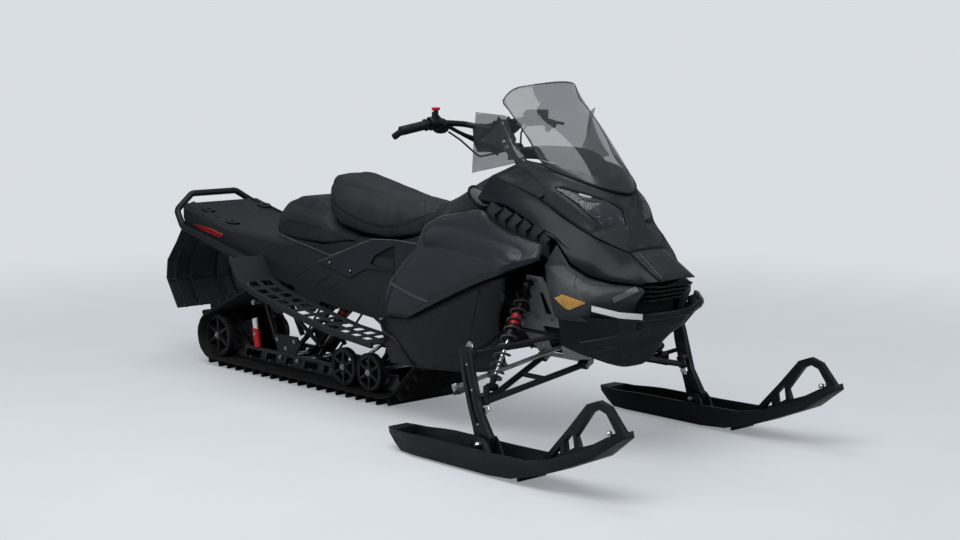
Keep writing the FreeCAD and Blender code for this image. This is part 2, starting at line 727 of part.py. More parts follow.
def headlight():
    """Clear lens that closes one opening of the hood, flush with it."""
    rows = [row[LAMP_LINE:LAMP_LINE + 2] for row in HOOD[LAMP_ROWS[0]:LAMP_ROWS[-1] + 2]]
    rows = [[toward(a, b, SEAM), toward(b, a, SEAM)] for a, b in rows]
    rows = shortened(shortened(rows, 0, 1), -1, -2)
    return moulding(rows, LENS_WALL)


# louvre apexes: first (x, z) and the step to the next
VENT_FIRST = (628, 812)
VENT_STEP = (50, -15)
VENT_COUNT = 6
VENT_BACK_Y = 214
VENT_OUT_Y = 256


def side_vent():
    """Air outlet below the hood's shoulder: chevron louvres standing on a sloping back plate."""
    x0, z0 = VENT_FIRST
    dx, dz = VENT_STEP
    louvres = []
    for k in range(VENT_COUNT):
        x, z = x0 + k * dx, z0 + k * dz
        arm = 40 - 2.5 * k
        outline = [(x + arm, z + 0.55 * arm), (x, z), (x + 8, z - 1.2 * arm), (x + 34, z - 1.2 * arm - 8),
                   (x + 26, z - 4), (x + arm + 24, z + 0.55 * arm - 10)]
        louvres.append(side_plate(outline, VENT_BACK_Y - 1, VENT_OUT_Y - 1.5 * k))
    last = VENT_COUNT - 1
    back = [(x0 - 30, z0 + 28), (x0 + last * dx + 60, z0 + last * dz + 8), (x0 + last * dx + 50, z0 + last * dz - 62),
            (x0 - 30, z0 - 50)]
    return fused([side_plate(back, VENT_BACK_Y - PANEL, VENT_BACK_Y)] + louvres)


# cheek below the hood, rear to front: under the hem, brow, fold, foot
FAIRING = [
    [(958, 240, 732), (914, 252, 655), (960, 284, 590), (952, 240, 484)],
    [(1014, 238, 664), (990, 276, 636), (1040, 292, 568), (1030, 266, 484)],
    [(1076, 214, 628), (1082, 262, 598), (1112, 266, 556), (1100, 240, 484)],
    [(1148, 172, 608), (1160, 206, 584), (1178, 188, 552), (1150, 190, 484)],
    [(1226, 118, 601), (1234, 123, 590), (1214, 128, 552), (1192, 130, 484)],
    [(1234, 109, 596), (1238, 109, 588), (1206, 109, 552), (1178, 109, 484)],
]


def front_fairing():
    return moulding(FAIRING, PANEL)


# bumper lip from the centre plane outward: x, y, low z, top z, and the shelf's rear edge x, y
BUMPER_ROWS = [(1262, 0, 486, 514, 1207, 0), (1256, 112, 488, 515, 1207, 134), (1222, 210, 500, 530, 1166, 196),
               (1146, 268, 520, 546, 1122, 250)]
LIP_THICKNESS = 9
LIP_LEAN = 6
SHELF_RISE = 7
SHELF_REAR_Z = 502


def front_bumper():
    """Shelf with an upstanding lip, wrapped round the nose and rising toward its ends."""
    lip = []
    shelf = [[], []]
    for x, y, low, top, rear_x, rear_y in BUMPER_ROWS:
        inward = V(rear_x - x, (rear_y - y) if y else 0, 0).normalize()
        section = [(LIP_LEAN, low), (0, low + SHELF_RISE), (0, top), (LIP_THICKNESS, top),
                   (LIP_THICKNESS + LIP_LEAN, low)]
        lip.append([V(x, y, z) + inward * depth for depth, z in section])
        shelf[0].append(V(x, y, low + SHELF_RISE + PANEL) + inward * (LIP_THICKNESS / 2))
        shelf[1].append((rear_x, rear_y, max(SHELF_REAR_Z, low)))
    half = fused([skin(lip), moulding([shelf[1], shelf[0]], PANEL)])
    return half.fuse(mirrored(half)).removeSplitter()


SLAT_COUNT = 4
SLAT_TOP_Z = 608
SLAT_DROP = 17
SLAT_FRONT_X = 1284
SLAT_RAKE = 15


def grille():
    """Slats under the nose tip, stepped back toward the bumper, on a raked back plate."""
    slats = []
    for k in range(SLAT_COUNT):
        x = SLAT_FRONT_X - k * SLAT_RAKE
        z = SLAT_TOP_Z - k * SLAT_DROP
        plan = [(x, 82), (x - 46, 108), (x - 70, 108), (x - 70, -108), (x - 46, -108), (x, -82)]
        slats.append(flat_plate(plan, z - 7, z))
    drop = SLAT_COUNT * SLAT_DROP
    x = SLAT_FRONT_X - 60
    foot_x = x - SLAT_RAKE * SLAT_COUNT
    back = [(x, SLAT_TOP_Z), (foot_x, SLAT_TOP_Z - drop), (foot_x, SHELF_REAR_Z - 6),
            (foot_x - PANEL, SHELF_REAR_Z - 6), (foot_x - PANEL, SLAT_TOP_Z - drop), (x - PANEL - 4, SLAT_TOP_Z)]
    return fused([side_plate(back, -108, 108)] + slats)


# belly pan, front to rear: centre, chine, flank, top edge
BELLY = [
    [(1228, 0, 452), (1218, 70, 456), (1196, 118, 466), (1184, 150, 480)],
    [(1150, 0, 382), (1142, 84, 390), (1136, 158, 432), (1128, 212, 480)],
    [(1092, 0, 322), (1086, 90, 330), (1086, 166, 396), (1078, 248, 480)],
    [(1040, 0, 293), (1036, 86, 300), (1032, 166, 382), (1018, 258, 480)],
    [(1006, 0, 292), (1000, 86, 298), (980, 166, 384), (968, 246, 480)],
]


def belly_pan():
    return moulding([across(row) for row in BELLY], PANEL)


# upper side panel, rear to front: top edge, shoulder, fold, crease, bottom edge
SIDE_PANEL = [
    [(290, 248, 744), (270, 254, 702), (252, 260, 660), (120, 272, 525), (131, 328, 404)],
    [(380, 250, 784), (385, 292, 712), (360, 316, 645), (285, 332, 508), (313, 358, 416)],
    [(515, 254, 808), (540, 316, 708), (514, 352, 618), (441, 371, 491), (425, 364, 468)],
    [(600, 258, 824), (650, 322, 724), (640, 378, 620), (608, 381, 562), (602, 373, 546)],
    [(700, 279, 777), (745, 330, 733), (757, 387, 664), (748, 389, 618), (741, 381, 600)],
    [(830, 291, 748), (842, 332, 724), (852, 381, 667), (838, 388, 640), (824, 383, 629)],
    [(936, 285, 730), (946, 297, 718), (952, 312, 704), (955, 318, 696), (955, 316, 688)],
]
# lower side panel, rear to front: top under the upper panel, bulge, bottom edge
LOWER_PANEL = [
    [(128, 314, 396), (134, 330, 330), (150, 300, 224)],
    [(318, 344, 420), (330, 336, 335), (330, 300, 226)],
    [(436, 348, 474), (500, 326, 370), (500, 262, 232)],
    [(606, 356, 548), (620, 316, 400), (600, 240, 242)],
    [(738, 362, 594), (720, 300, 440), (700, 225, 268)],
    [(822, 352, 620), (778, 312, 540), (728, 300, 456)],
]


def side_panel():
    return moulding(SIDE_PANEL, PANEL)


def lower_panel():
    return moulding(LOWER_PANEL, PANEL)


# screen: centre x, z, edge x, half width, edge z, base to top
SCREEN_ROWS = [(1064, 899, 842, 183, 988), (1014, 972, 806, 190, 1022), (926, 1056, 776, 194, 1070),
               (840, 1142, 728, 197, 1122), (774, 1194, 676, 199, 1174), (750, 1240, 638, 194, 1208),
               (732, 1273, 655, 157, 1250)]
SCREEN_STEPS = 8


def screen_row(cx, cz, ex, half, ez):
    """Points from edge to edge along a parabola through the centre."""
    row = []
    for k in range(-SCREEN_STEPS, SCREEN_STEPS + 1):
        share = (k / SCREEN_STEPS) ** 2
        row.append((cx + (ex - cx) * share, half * k / SCREEN_STEPS, cz + (ez - cz) * share))
    return row


def windshield():
    return moulding([screen_row(*row) for row in SCREEN_ROWS], PANEL)


DEFLECTOR = [[(618, 300, 1168), (676, 212, 1156)], [(590, 286, 1060), (720, 210, 1060)],
             [(556, 262, 952), (778, 208, 1004)]]


def wind_deflector():
    return moulding(DEFLECTOR, PANEL)


# dash pod sections: x, top half width, top z, foot half width, foot z
DASH_ROWS = [(560, 88, 1034, 92, 990), (680, 104, 1038, 112, 1004), (790, 110, 1030, 124, 1002),
             (860, 96, 1002, 112, 988), (915, 62, 976, 70, 966)]


def dash():
    """Gauge pod behind the screen, standing on the hood."""
    return skin([[(x, -b, zb), (x, b, zb), (x, a, zt), (x, -a, zt)] for x, a, zt, b, zb in DASH_ROWS])


# ---------------------------------------------------------------- front frame
FRAME_FOOT_Y = 84
FRAME_FOOT_Z = 308
FRAME_RAKE = 0.39              # how far the plates spread outward for each unit of height
FRAME_PLATE = 6


def frame_y(z):
    return FRAME_FOOT_Y + (z - FRAME_FOOT_Z) * FRAME_RAKE


FRAME_OUTLINE = [(735, FRAME_FOOT_Z), (985, FRAME_FOOT_Z), (1004, 350), (1018, 450), (1014, 482), (900, 470),
                 (850, 606), (772, 606), (742, 470), (672, 448), (672, 400)]
FRAME_WINDOW = [(796, 322), (900, 322), (922, 424), (782, 424)]
FRAME_SLOT = [(815, 470), (850, 470), (834, 550), (815, 550)]


def frame_plate():
    outward = V(0, 1, -FRAME_RAKE).normalize() * FRAME_PLATE
    prisms = []
    for outline in (FRAME_OUTLINE, FRAME_WINDOW, FRAME_SLOT):
        prisms.append(face_of([(x, frame_y(z), z) for x, z in outline]).extrude(outward))
    return prisms[0].cut(Part.makeCompound(prisms[1:]))


def pivot_tab(x, y, z, root_z):
    """Ear that stands out from the plate and holds one end of an arm's bolt."""
    root = frame_y(root_z) + 2
    outline = [(root, root_z), (y, z - 11), (y + 11, z), (y, z + 11), (frame_y(root_z + 24) + 2, root_z + 24)]
    ear = face_of([(x - TAB_THICKNESS / 2, py, pz) for py, pz in outline])
    return ear.extrude(V(TAB_THICKNESS, 0, 0))


def front_frame():
    """Two raked side plates, joined by the beam that holds the centre steering arm's pivot."""
    pivot = V(STEER_PIVOT[0], 0, STEER_PIVOT[1])
    lug = rod(pivot + KINGPIN * 7, pivot + KINGPIN * 19, 15)
    stalk = rod(pivot + KINGPIN * 13 + FORWARD * 10, pivot + KINGPIN * 13 + FORWARD * 34, 5)
    end = pivot + KINGPIN * 13 + FORWARD * 34
    half = frame_y(end.z) + FRAME_PLATE / 2
    beam = disc(end.x, end.z, -half, half, 10)
    tie = disc(826, 450, -frame_y(450) - 3, frame_y(450) + 3, 12)
    side = [frame_plate(), disc(SHOCK_TOP[0], SHOCK_TOP[2], frame_y(SHOCK_TOP[2]) + 1, SHOCK_TOP[1] + 14, SHOCK_PIN_R)]
    for tube_r, (front_x, rear_x, z) in ((ARM_TUBE_R, LOWER_PIVOTS), (UPPER_TUBE_R, UPPER_PIVOTS)):
        y = pivot_y(tube_r, z)
        for x in (front_x, rear_x):
            side.append(rod((x - SLEEVE_HALF - 7, y, z), (x + SLEEVE_HALF + 7, y, z), ARM_BOLT_R))
            for end in (-1, 1):
                x0 = x + end * (SLEEVE_HALF + TAB_THICKNESS / 2 + 0.5)
                side.append(pivot_tab(x0, y, z, max(z - 12, FRAME_FOOT_Z)))
    plates = fused(side)
    frame = fused([plates, mirrored(plates), beam, tie, stalk, lug])
    return frame.cut(rod(pivot, pivot + KINGPIN * 24, STUD_R + PIN_GAP))


def engine():
    return box(330, 655, -190, 190, 320, 600)


# ---------------------------------------------------------------- front suspension
def collar(t, start, end, r):
    """Cylinder on the kingpin axis, from start to end mm beyond t."""
    return rod(kingpin_point(t, start), kingpin_point(t, end), r)


def pivot_y(tube_r, pivot_z):
    """How far out an arm's pivot sits, its sleeve clear of the raked frame plate."""
    return frame_y(pivot_z) + FRAME_PLATE + SLEEVE_GAP + tube_r + SLEEVE_WALL


def wishbone(t, tube_r, pivots, brace):
    """Two tubes from frame pivots to one ball housing, tied by a cross brace partway along."""
    front_x, rear_x, pivot_z = pivots
    inner = pivot_y(tube_r, pivot_z)
    tip = kingpin_point(t) - V(0, HOUSING_R - 5, 0)
    shapes = [collar(t, -HOUSING_HALF, HOUSING_HALF, HOUSING_R)]
    marks = []
    for x in (front_x, rear_x):
        foot = V(x, inner, pivot_z)
        shapes.append(rod(tip, foot, tube_r))
        shapes.append(rod(foot - V(SLEEVE_HALF, 0, 0), foot + V(SLEEVE_HALF, 0, 0), tube_r + SLEEVE_WALL))
        marks.append(tip + (foot - tip) * brace)
    shapes.append(rod(marks[0], marks[1], tube_r * 0.8))
    bores = [rod((x - 40, inner, pivot_z), (x + 40, inner, pivot_z), ARM_BOLT_R)
             for x in (front_x, rear_x)]
    bores.append(collar(t, -HOUSING_HALF - 1, HOUSING_HALF + 1, STUD_R + PIN_GAP))
    return fused(shapes).cut(Part.makeCompound(bores))


def lower_arm():
    """Lower wishbone with the clevis that holds the shock's foot."""
    arm = wishbone(0, ARM_TUBE_R, LOWER_PIVOTS, 0.6)
    x, y, z = SHOCK_LOW
    clevis = []
    for side in (-1, 1):
        cheek = [(x - 13, z - 30), (x + 13, z - 30), (x + 13, z + 3), (x + 6, z + 8), (x - 6, z + 8), (x - 13, z + 3)]
        clevis.append(side_plate(cheek, y + side * 21 - 3, y + side * 21 + 3))
    seat = box(x - 13, x + 44, y - 24, y + 24, z - 30, z - 22)
    pin = disc(x, z, y - 24, y + 24, SHOCK_PIN_R)
    return fused([arm, seat, pin] + clevis)


def upper_arm():
    return wishbone(1, UPPER_TUBE_R, UPPER_PIVOTS, 0.82)


def suspension_arms():
    return Part.makeCompound([s for arm in (lower_arm(), upper_arm()) for s in (arm, mirrored(arm))])


def ski_shock():
    """Damper between the frame and the lower arm, and the spring round it."""
    top, low = V(*SHOCK_TOP), V(*SHOCK_LOW)
    run = (low - top).normalize()
    length = (low - top).Length
    eye = disc(SHOCK_LOW[0], SHOCK_LOW[2], SHOCK_LOW[1] - 15, SHOCK_LOW[1] + 15, 14)
    crown = disc(top.x, top.z, top.y - 12, top.y + 12, 13)
    body = rod(top + run * 8, top + run * (length * 0.55), SHOCK_R)
    seats = [rod(top + run * 40, top + run * 46, SPRING_R), rod(low - run * 40, low - run * 34, SPRING_R)]
    stem = rod(top + run * (length * 0.5), low, 7)
    bores = [disc(p.x, p.z, p.y - 20, p.y + 20, SHOCK_PIN_R) for p in (top, low)]
    damper = fused([crown, body, stem, eye] + seats).cut(Part.makeCompound(bores))
    spring = coil(top + run * (46 + SEAM / 10), low - run * (40 + SEAM / 10), SPRING_R, SPRING_WIRE, SPRING_TURNS)
    return [damper, spring]


def ski_shocks():
    return Part.makeCompound([s for piece in ski_shock() for s in (piece, mirrored(piece))])


# ski leg outline in its own plane, from the top lug forward and down to the foot
LEG_OUTLINE = [(806, 398), (838, 402), (862, 335), (888, 250), (905, 195), (960, 112), (956, 72), (930, 62),
               (905, 64), (892, 82), (872, 146), (850, 205), (822, 300)]
LEG_POCKET = [(828, 372), (842, 332), (868, 245), (886, 186), (912, 140), (892, 150), (868, 206), (840, 300)]


def ski_leg():
    """Forged upright outboard of the kingpin: pocketed outside, lugs to both ball joints, arm and foot."""
    y0 = SKI_STANCE / 2 - LEG_HALF
    y1 = SKI_STANCE / 2 + LEG_HALF
    pieces = [side_plate(LEG_OUTLINE, y0, y1)]
    for t, side in ((1, -1), (0, 1)):
        start = side * (HOUSING_HALF + BALL_GAP)
        end = side * (HOUSING_HALF + BALL_GAP + LUG_THICKNESS)
        a, b = kingpin_point(t, start), kingpin_point(t, end)
        reach = FORWARD * HOUSING_R
        root = face_of([a - reach, a + reach, b + reach, b - reach])
        pieces += [collar(t, start, end, HOUSING_R), root.extrude(V(0, y0 + 2 - KINGPIN_Y, 0)),
                   collar(t, -side * HOUSING_HALF, start, STUD_R)]
    eye = V(*TIE_EYE)
    low = TIE_EYE_HALF + 3
    pieces += [rod(eye - KINGPIN * (low + 10), eye - KINGPIN * low, TIE_EYE_R + 1),
               rod(eye - KINGPIN * (low + 5) + FORWARD * 8,
                   kingpin_point(STEER_EYE_T) - KINGPIN * (low + 5) + V(0, 34, 0), 8),
               rod(eye - KINGPIN * low, eye + KINGPIN * (TIE_EYE_HALF + 2), TIE_PIN_R)]
    leg = fused(pieces)
    pocket = side_plate(LEG_POCKET, y1 - 9, y1 + 1)
    bore = disc(SKI_BOLT_X, SKI_BOLT_Z, y0 - 1, y1 + 1, SKI_BOLT_R + PIN_GAP)
    return leg.cut(Part.makeCompound([pocket, bore]))


# ski side view: upper edge of its walls, then its sole, and half widths along it
SKI_TOP = [(470, 76), (560, 74), (700, 82), (1000, 84), (1180, 88), (1280, 108), (1440, 166), (1560, 234)]
SKI_SOLE = [(1567, 214), (1450, 132), (1260, 54), (1120, 16), (1010, KEEL_DEPTH), (560, KEEL_DEPTH), (476, 56)]
SKI_PLAN = [(465, 40), (520, 56), (640, SKI_WIDTH / 2), (1260, SKI_WIDTH / 2), (1470, 52), (1570, 26)]
# handle loop in side view, its finger opening, and the holes in its rear strut
LOOP_OUTLINE = [(1196, 78), (1318, 206), (1398, 296), (1446, 314), (1494, 300), (1556, 232), (1524, 192), (1420, 140),
                (1290, 92), (1240, 66)]
LOOP_OPENING = [(1352, 186), (1418, 272), (1450, 288), (1482, 278), (1522, 226), (1430, 176), (1366, 152)]
LOOP_HOLES = [[(1240, 96), (1284, 142), (1284, 112)], [(1302, 162), (1338, 200), (1346, 150), (1308, 128)]]


def ski():
    """Channel-section ski with a keel, saddle ears and bolt, and the loop at its tip."""
    y = SKI_STANCE / 2
    half = SKI_WIDTH / 2
    plan = [(x, y + w) for x, w in SKI_PLAN] + [(x, y - w) for x, w in reversed(SKI_PLAN)]
    blade = side_plate(SKI_TOP + SKI_SOLE, y - half, y + half).common(flat_plate(plan, -1, 300))
    floor = [(x, z + SKI_FLOOR) for x, z in SKI_SOLE]
    hollow = side_plate([(1500, 400), (520, 400)] + list(reversed(floor))[:-1] + [(1500, 178)], y - half, y + half)
    inset_rows = [(x, w - SKI_WALL) for x, w in SKI_PLAN[1:-1]]
    tray = [(x, y + w) for x, w in inset_rows] + [(x, y - w) for x, w in reversed(inset_rows)]
    blade = blade.cut(hollow.common(flat_plate(tray, -1, 400)))
    keel_line = [(560, KEEL_DEPTH + 1), (620, 0), (1000, 0), (1120, 10), (1240, 50), (1240, 60), (560, 14)]
    keel = side_plate(keel_line, y - 9, y + 9)
    ear = [(862, 16), (1004, 16), (966, 96), (948, 112), (908, 112), (890, 96)]
    ears = [side_plate(ear, y + side * EAR_Y - EAR_THICKNESS / 2, y + side * EAR_Y + EAR_THICKNESS / 2)
            for side in (-1, 1)]
    bolt = disc(SKI_BOLT_X, SKI_BOLT_Z, y - EAR_Y - 12, y + EAR_Y + 12, SKI_BOLT_R)
    grip = side_plate(LOOP_OUTLINE, y - LOOP_THICKNESS / 2, y + LOOP_THICKNESS / 2)
    holes = [side_plate(h, y - LOOP_THICKNESS, y + LOOP_THICKNESS) for h in [LOOP_OPENING] + LOOP_HOLES]
    return fused([blade, keel, bolt, grip.cut(Part.makeCompound(holes))] + ears)


# ---------------------------------------------------------------- steering
# right half of the handlebar, from its clamp outward
BAR_PATH = [(440, 55, 1092), (352, 112, 1112), (345, 245, 1122), (312, BAR_HALF, 1094)]


def bar_line(t):
    """Point on the grip's straight stretch, and its direction outward."""
    a, b = V(*BAR_PATH[-2]), V(*BAR_PATH[-1])
    return a + (b - a) * t, (b - a).normalize()


def bar_tube():
    return bent_tube(flip_y(reversed(BAR_PATH)) + BAR_PATH, BAR_R, 36)


def handlebar():
    """Bar, its clamp and the leaning post."""
    bar = bar_tube()
    post = rod(post_point(8), post_point(POST_LENGTH), POST_R)
    lean = math.radians(POST_LEAN)
    plan = [(-26, -22), (30, -22), (30, 24), (16, 34), (-16, 34), (-26, 24)]
    clamp = side_plate([(POST_TOP[0] + dx * math.cos(lean) - dz * math.sin(lean),
                         POST_TOP[1] + dx * math.sin(lean) + dz * math.cos(lean)) for dx, dz in plan], -34, 34)
    riser = rod(post_point(10), post_point(52), 24)
    return fused([bar, post, clamp, riser])


def hand_grips():
    """Rubber grips with a hooked end cap."""
    start, way = bar_line(0.28)
    end = V(*BAR_PATH[-1])
    grip = rod(start, end, GRIP_R)
    flange = rod(start, start + way * 6, GRIP_R + 5)
    hook = rod(end - way * 12 + V(4, 0, 4), end + V(-34, 2, -22), 12)
    shape = fused([grip, flange, hook]).cut(rod(start - way, end, BAR_R))
    return pair(shape)


CONTROL_T = 0.06


def hand_controls():
    """Throttle block with its stop button on the right, brake perch, reservoir and lever on the left."""
    spot, way = bar_line(CONTROL_T)
    block = rod(spot - way * 22, spot + way * 18, 25)
    button = fused([rod(spot - way * 8 + V(0, 0, 18), spot - way * 8 + V(0, 0, 44), 9),
                    rod(spot - way * 8 + V(0, 0, 44), spot - way * 8 + V(0, 0, 54), 15)])
    thumb = skin([[(318, spot.y - 6, 1106), (318, spot.y + 8, 1106), (318, spot.y + 8, 1094), (318, spot.y - 6, 1094)],
                  [(268, spot.y + 26, 1100), (268, spot.y + 44, 1100), (268, spot.y + 44, 1092),
                   (268, spot.y + 26, 1092)]])
    stem = box(300, 350, spot.y - 6, spot.y + 8, 1094, 1106)
    core = bar_tube()
    throttle = mirrored(fused([block, button, stem, thumb]).cut(core))
    perch = rod(spot - way * 20, spot + way * 16, 20)
    tank = flat_plate([(352, spot.y - 44), (404, spot.y - 40), (404, spot.y + 14), (352, spot.y + 12)], 1124, 1156)
    pivot = box(350, 392, spot.y - 6, spot.y + 16, 1108, 1126)
    blade = [(392, 1, 1110), (372, 60, 1107), (352, 130, 1100), (340, 158, 1096)]
    path = [(x, spot.y + y, z) for x, y, z in blade]
    lever = fused([rod(a, b, 6) for a, b in zip(path, path[1:])])
    brake = fused([perch, tank, pivot, lever]).cut(core)
    return Part.makeCompound([throttle, brake])


def control_cable(start, side, drop):
    """Cable from a hand control, round below the bar and down beside the post."""
    sx, sy, sz = start
    points = [start, (sx + 12, side * (sy - 46), sz - 30), (sx + 62, side * 96, sz - drop),
              post_point(92, 10, side * 40), post_point(150, 16, side * 15), post_point(210, 20, side * 9),
              post_point(POST_LENGTH - 30, 20, side * 9)]
    points[0] = (sx, side * sy, sz)
    return bent_tube(points, CABLE_R, 26)


def throttle_cable():
    return control_cable((352, 190, 1086), -1, 92)


def brake_hose():
    return control_cable((366, 196, 1104), 1, 118)


def tie_rod(level):
    """Rod from the leg's arm to the centre arm; level is its eye's height on the centre pin."""
    outer = V(*TIE_EYE)
    inner = V(TIE_CENTRE[0], 0, TIE_CENTRE[1]) + KINGPIN * level
    way = (outer - inner).normalize()
    reach = KINGPIN * TIE_EYE_HALF
    shapes = [rod(inner + way * 4, outer - way * 4, TIE_ROD_R)]
    shapes += [rod(end - reach, end + reach, TIE_EYE_R) for end in (outer, inner)]
    bores = [rod(end - KINGPIN * 25, end + KINGPIN * 25, TIE_PIN_R + PIN_GAP) for end in (outer, inner)]
    return fused(shapes).cut(Part.makeCompound(bores))


def steering_arm():
    """Centre arm: pivots on the frame and carries one pin through both tie rods' eyes."""
    eye = V(TIE_CENTRE[0], 0, TIE_CENTRE[1])
    pivot = V(STEER_PIVOT[0], 0, STEER_PIVOT[1])
    thick = KINGPIN * 5
    web = face_of([eye - V(0, 12, 0) - thick, eye + V(0, 12, 0) - thick,
                   pivot + V(0, 16, 0) - thick, pivot - V(0, 16, 0) - thick]).extrude(thick * 2)
    ends = [rod(eye - thick, eye + thick, 13), rod(pivot - thick, pivot + thick, 16)]
    pin_end = KINGPIN * (TIE_LEVEL + TIE_EYE_HALF + 2)
    pin = rod(eye - pin_end, eye + pin_end, TIE_PIN_R)
    stub = rod(pivot, pivot + KINGPIN * 20, STUD_R)
    return fused([web, pin, stub] + ends)


NODES = {
    "track": track(),
    "rear_wheels": wheel_set(REAR_SET),
    "idler_wheels": wheel_set(IDLER_SET),
    "rail_axles": rail_axles(),
    "slide_rails": slide_rails(),
    "track_arms": track_arms(),
    "track_shocks": track_shocks(),
    "drive_axle": drive_axle(),
    "tunnel": tunnel(),
    "cargo_anchors": cargo_anchors(),
    "running_boards": pair(running_board()),
    "rear_bumper": rear_bumper(),
    "tail_reflectors": tail_reflectors(),
    "snow_flap": snow_flap(),
    "driver_seat": cushion(SEAT_ROWS),
    "rear_seat": cushion(REAR_SEAT_ROWS),
    "console": console(),
    "fuel_tank": fuel_tank(),
    "hood": hood(),
    "hood_sides": pair(hood_side()),
    "nose_panel": nose_panel(),
    "headlights": pair(headlight()),
    "side_vents": pair(side_vent()),
    "front_fairings": pair(front_fairing()),
    "front_bumper": front_bumper(),
    "grille": grille(),
    "belly_pan": belly_pan(),
    "side_panels": pair(side_panel()),
    "lower_panels": pair(lower_panel()),
    "windshield": windshield(),
    "wind_deflectors": pair(wind_deflector()),
    "dash": dash(),
    "front_frame": front_frame(),
    "engine": engine(),
    "suspension_arms": suspension_arms(),
    "ski_shocks": ski_shocks(),
    "ski_leg_left": ski_leg(),
    "ski_leg_right": mirrored(ski_leg()),
    "ski_left": ski(),
    "ski_right": mirrored(ski()),
    "handlebar": handlebar(),
    "hand_grips": hand_grips(),
    "hand_controls": hand_controls(),
    "throttle_cable": throttle_cable(),
    "brake_hose": brake_hose(),
    "tie_rod_left": tie_rod(TIE_LEVEL),
    "tie_rod_right": mirrored(tie_rod(-TIE_LEVEL)),
    "steering_arm": steering_arm(),
}
for name, shape in NODES.items():
    shape.exportStep(f"parts/{name}.step")
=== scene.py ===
import json
import math

import bmesh
import bpy
import numpy as np
from mathutils import Matrix, Vector
from mathutils.bvhtree import BVHTree


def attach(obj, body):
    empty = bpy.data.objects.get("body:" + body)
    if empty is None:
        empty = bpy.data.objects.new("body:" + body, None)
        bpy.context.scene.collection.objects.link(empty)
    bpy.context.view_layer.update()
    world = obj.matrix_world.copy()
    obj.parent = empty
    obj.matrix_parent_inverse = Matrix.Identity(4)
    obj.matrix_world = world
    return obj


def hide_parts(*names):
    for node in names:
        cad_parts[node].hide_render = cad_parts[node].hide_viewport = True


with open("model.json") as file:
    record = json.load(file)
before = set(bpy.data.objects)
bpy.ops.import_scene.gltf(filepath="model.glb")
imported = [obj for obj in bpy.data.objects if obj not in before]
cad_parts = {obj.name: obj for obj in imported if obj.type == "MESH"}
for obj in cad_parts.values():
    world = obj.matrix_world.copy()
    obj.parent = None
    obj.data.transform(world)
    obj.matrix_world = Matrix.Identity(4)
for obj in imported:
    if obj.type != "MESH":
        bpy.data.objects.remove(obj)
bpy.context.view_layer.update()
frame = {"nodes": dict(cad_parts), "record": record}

BODIES = frame["record"]["behaviour"]["bodies"]
BODY_OF = {node: body for body, nodes in BODIES.items() for node in nodes}
NODES = frame["nodes"]


# ---------------------------------------------------------------- camera
def make_camera():
    data = bpy.data.cameras.new("camera")
    data.lens = 63.98
    data.sensor_width = 36
    cam = bpy.data.objects.new("camera", data)
    bpy.context.scene.collection.objects.link(cam)
    cam.location = (4.9946, -4.3031, 1.4119)
    yaw, pitch = math.radians(137.413), math.radians(-7.635)
    look = Vector((math.cos(yaw) * math.cos(pitch), math.sin(yaw) * math.cos(pitch), math.sin(pitch)))
    cam.rotation_mode = "QUATERNION"
    cam.rotation_quaternion = look.to_track_quat("-Z", "Y")
    bpy.context.scene.camera = cam


make_camera()


# ---------------------------------------------------------------- materials
class Finish:
    """A Principled material whose colour, roughness and bump come from noise in the object's own space."""

    def __init__(self, name):
        self.mat = bpy.data.materials.new(name)
        self.mat.use_nodes = True
        self.tree = self.mat.node_tree
        self.shader = self.tree.nodes["Principled BSDF"]
        self.coords = self.tree.nodes.new("ShaderNodeTexCoord").outputs["Object"]

    def node(self, kind, **values):
        made = self.tree.nodes.new(kind)
        for key, value in values.items():
            if key in made.inputs:
                made.inputs[key].default_value = value
            else:
                setattr(made, key, value)
        return made

    def link(self, out, into):
        self.tree.links.new(out, into)

    def noise(self, scale, detail=3, stretch=None, rough=0.55):
        tex = self.node("ShaderNodeTexNoise", Scale=scale, Detail=detail, Roughness=rough)
        self.link(self.placed(stretch), tex.inputs["Vector"])
        return tex.outputs["Fac"]

    def placed(self, stretch):
        if stretch is None:
            return self.coords
        mapping = self.node("ShaderNodeMapping", Scale=stretch)
        self.link(self.coords, mapping.inputs["Vector"])
        return mapping.outputs["Vector"]

    def cells(self, scale, feature="F1", stretch=None):
        tex = self.node("ShaderNodeTexVoronoi", Scale=scale)
        tex.feature = feature
        self.link(self.placed(stretch), tex.inputs["Vector"])
        return tex.outputs["Distance"]

    def ramp(self, fac, low, high, start=0.35, end=0.65):
        ramp = self.node("ShaderNodeValToRGB")
        for element, at, value in zip(ramp.color_ramp.elements, (start, end), (low, high)):
            element.position = at
            element.color = (*value, 1) if len(value) == 3 else (value[0],) * 3 + (1,)
        self.link(fac, ramp.inputs["Fac"])
        return ramp.outputs["Color"]

    def mix(self, fac, a, b):
        mixed = self.node("ShaderNodeMix", data_type="RGBA")
        self.link(fac, mixed.inputs["Factor"])
        for socket, value in ((mixed.inputs["A"], a), (mixed.inputs["B"], b)):
            if isinstance(value, tuple):
                socket.default_value = (*value, 1)
            else:
                self.link(value, socket)
        return mixed.outputs["Result"]

    def colour(self, out):
        self.link(out, self.shader.inputs["Base Color"])

    def rough(self, out):
        self.link(out, self.shader.inputs["Roughness"])

    def bump(self, height, depth, strength=1.0, under=None):
        bump = self.node("ShaderNodeBump", Strength=strength, Distance=depth)
        self.link(height, bump.inputs["Height"])
        if under is not None:
            self.link(under, bump.inputs["Normal"])
        self.link(bump.outputs["Normal"], self.shader.inputs["Normal"])
        return bump.outputs["Normal"]

    def set(self, **values):
        for key, value in values.items():
            self.shader.inputs[key.replace("_", " ")].default_value = value
        return self


def tone(colour, gain):
    return tuple(c * gain for c in colour)


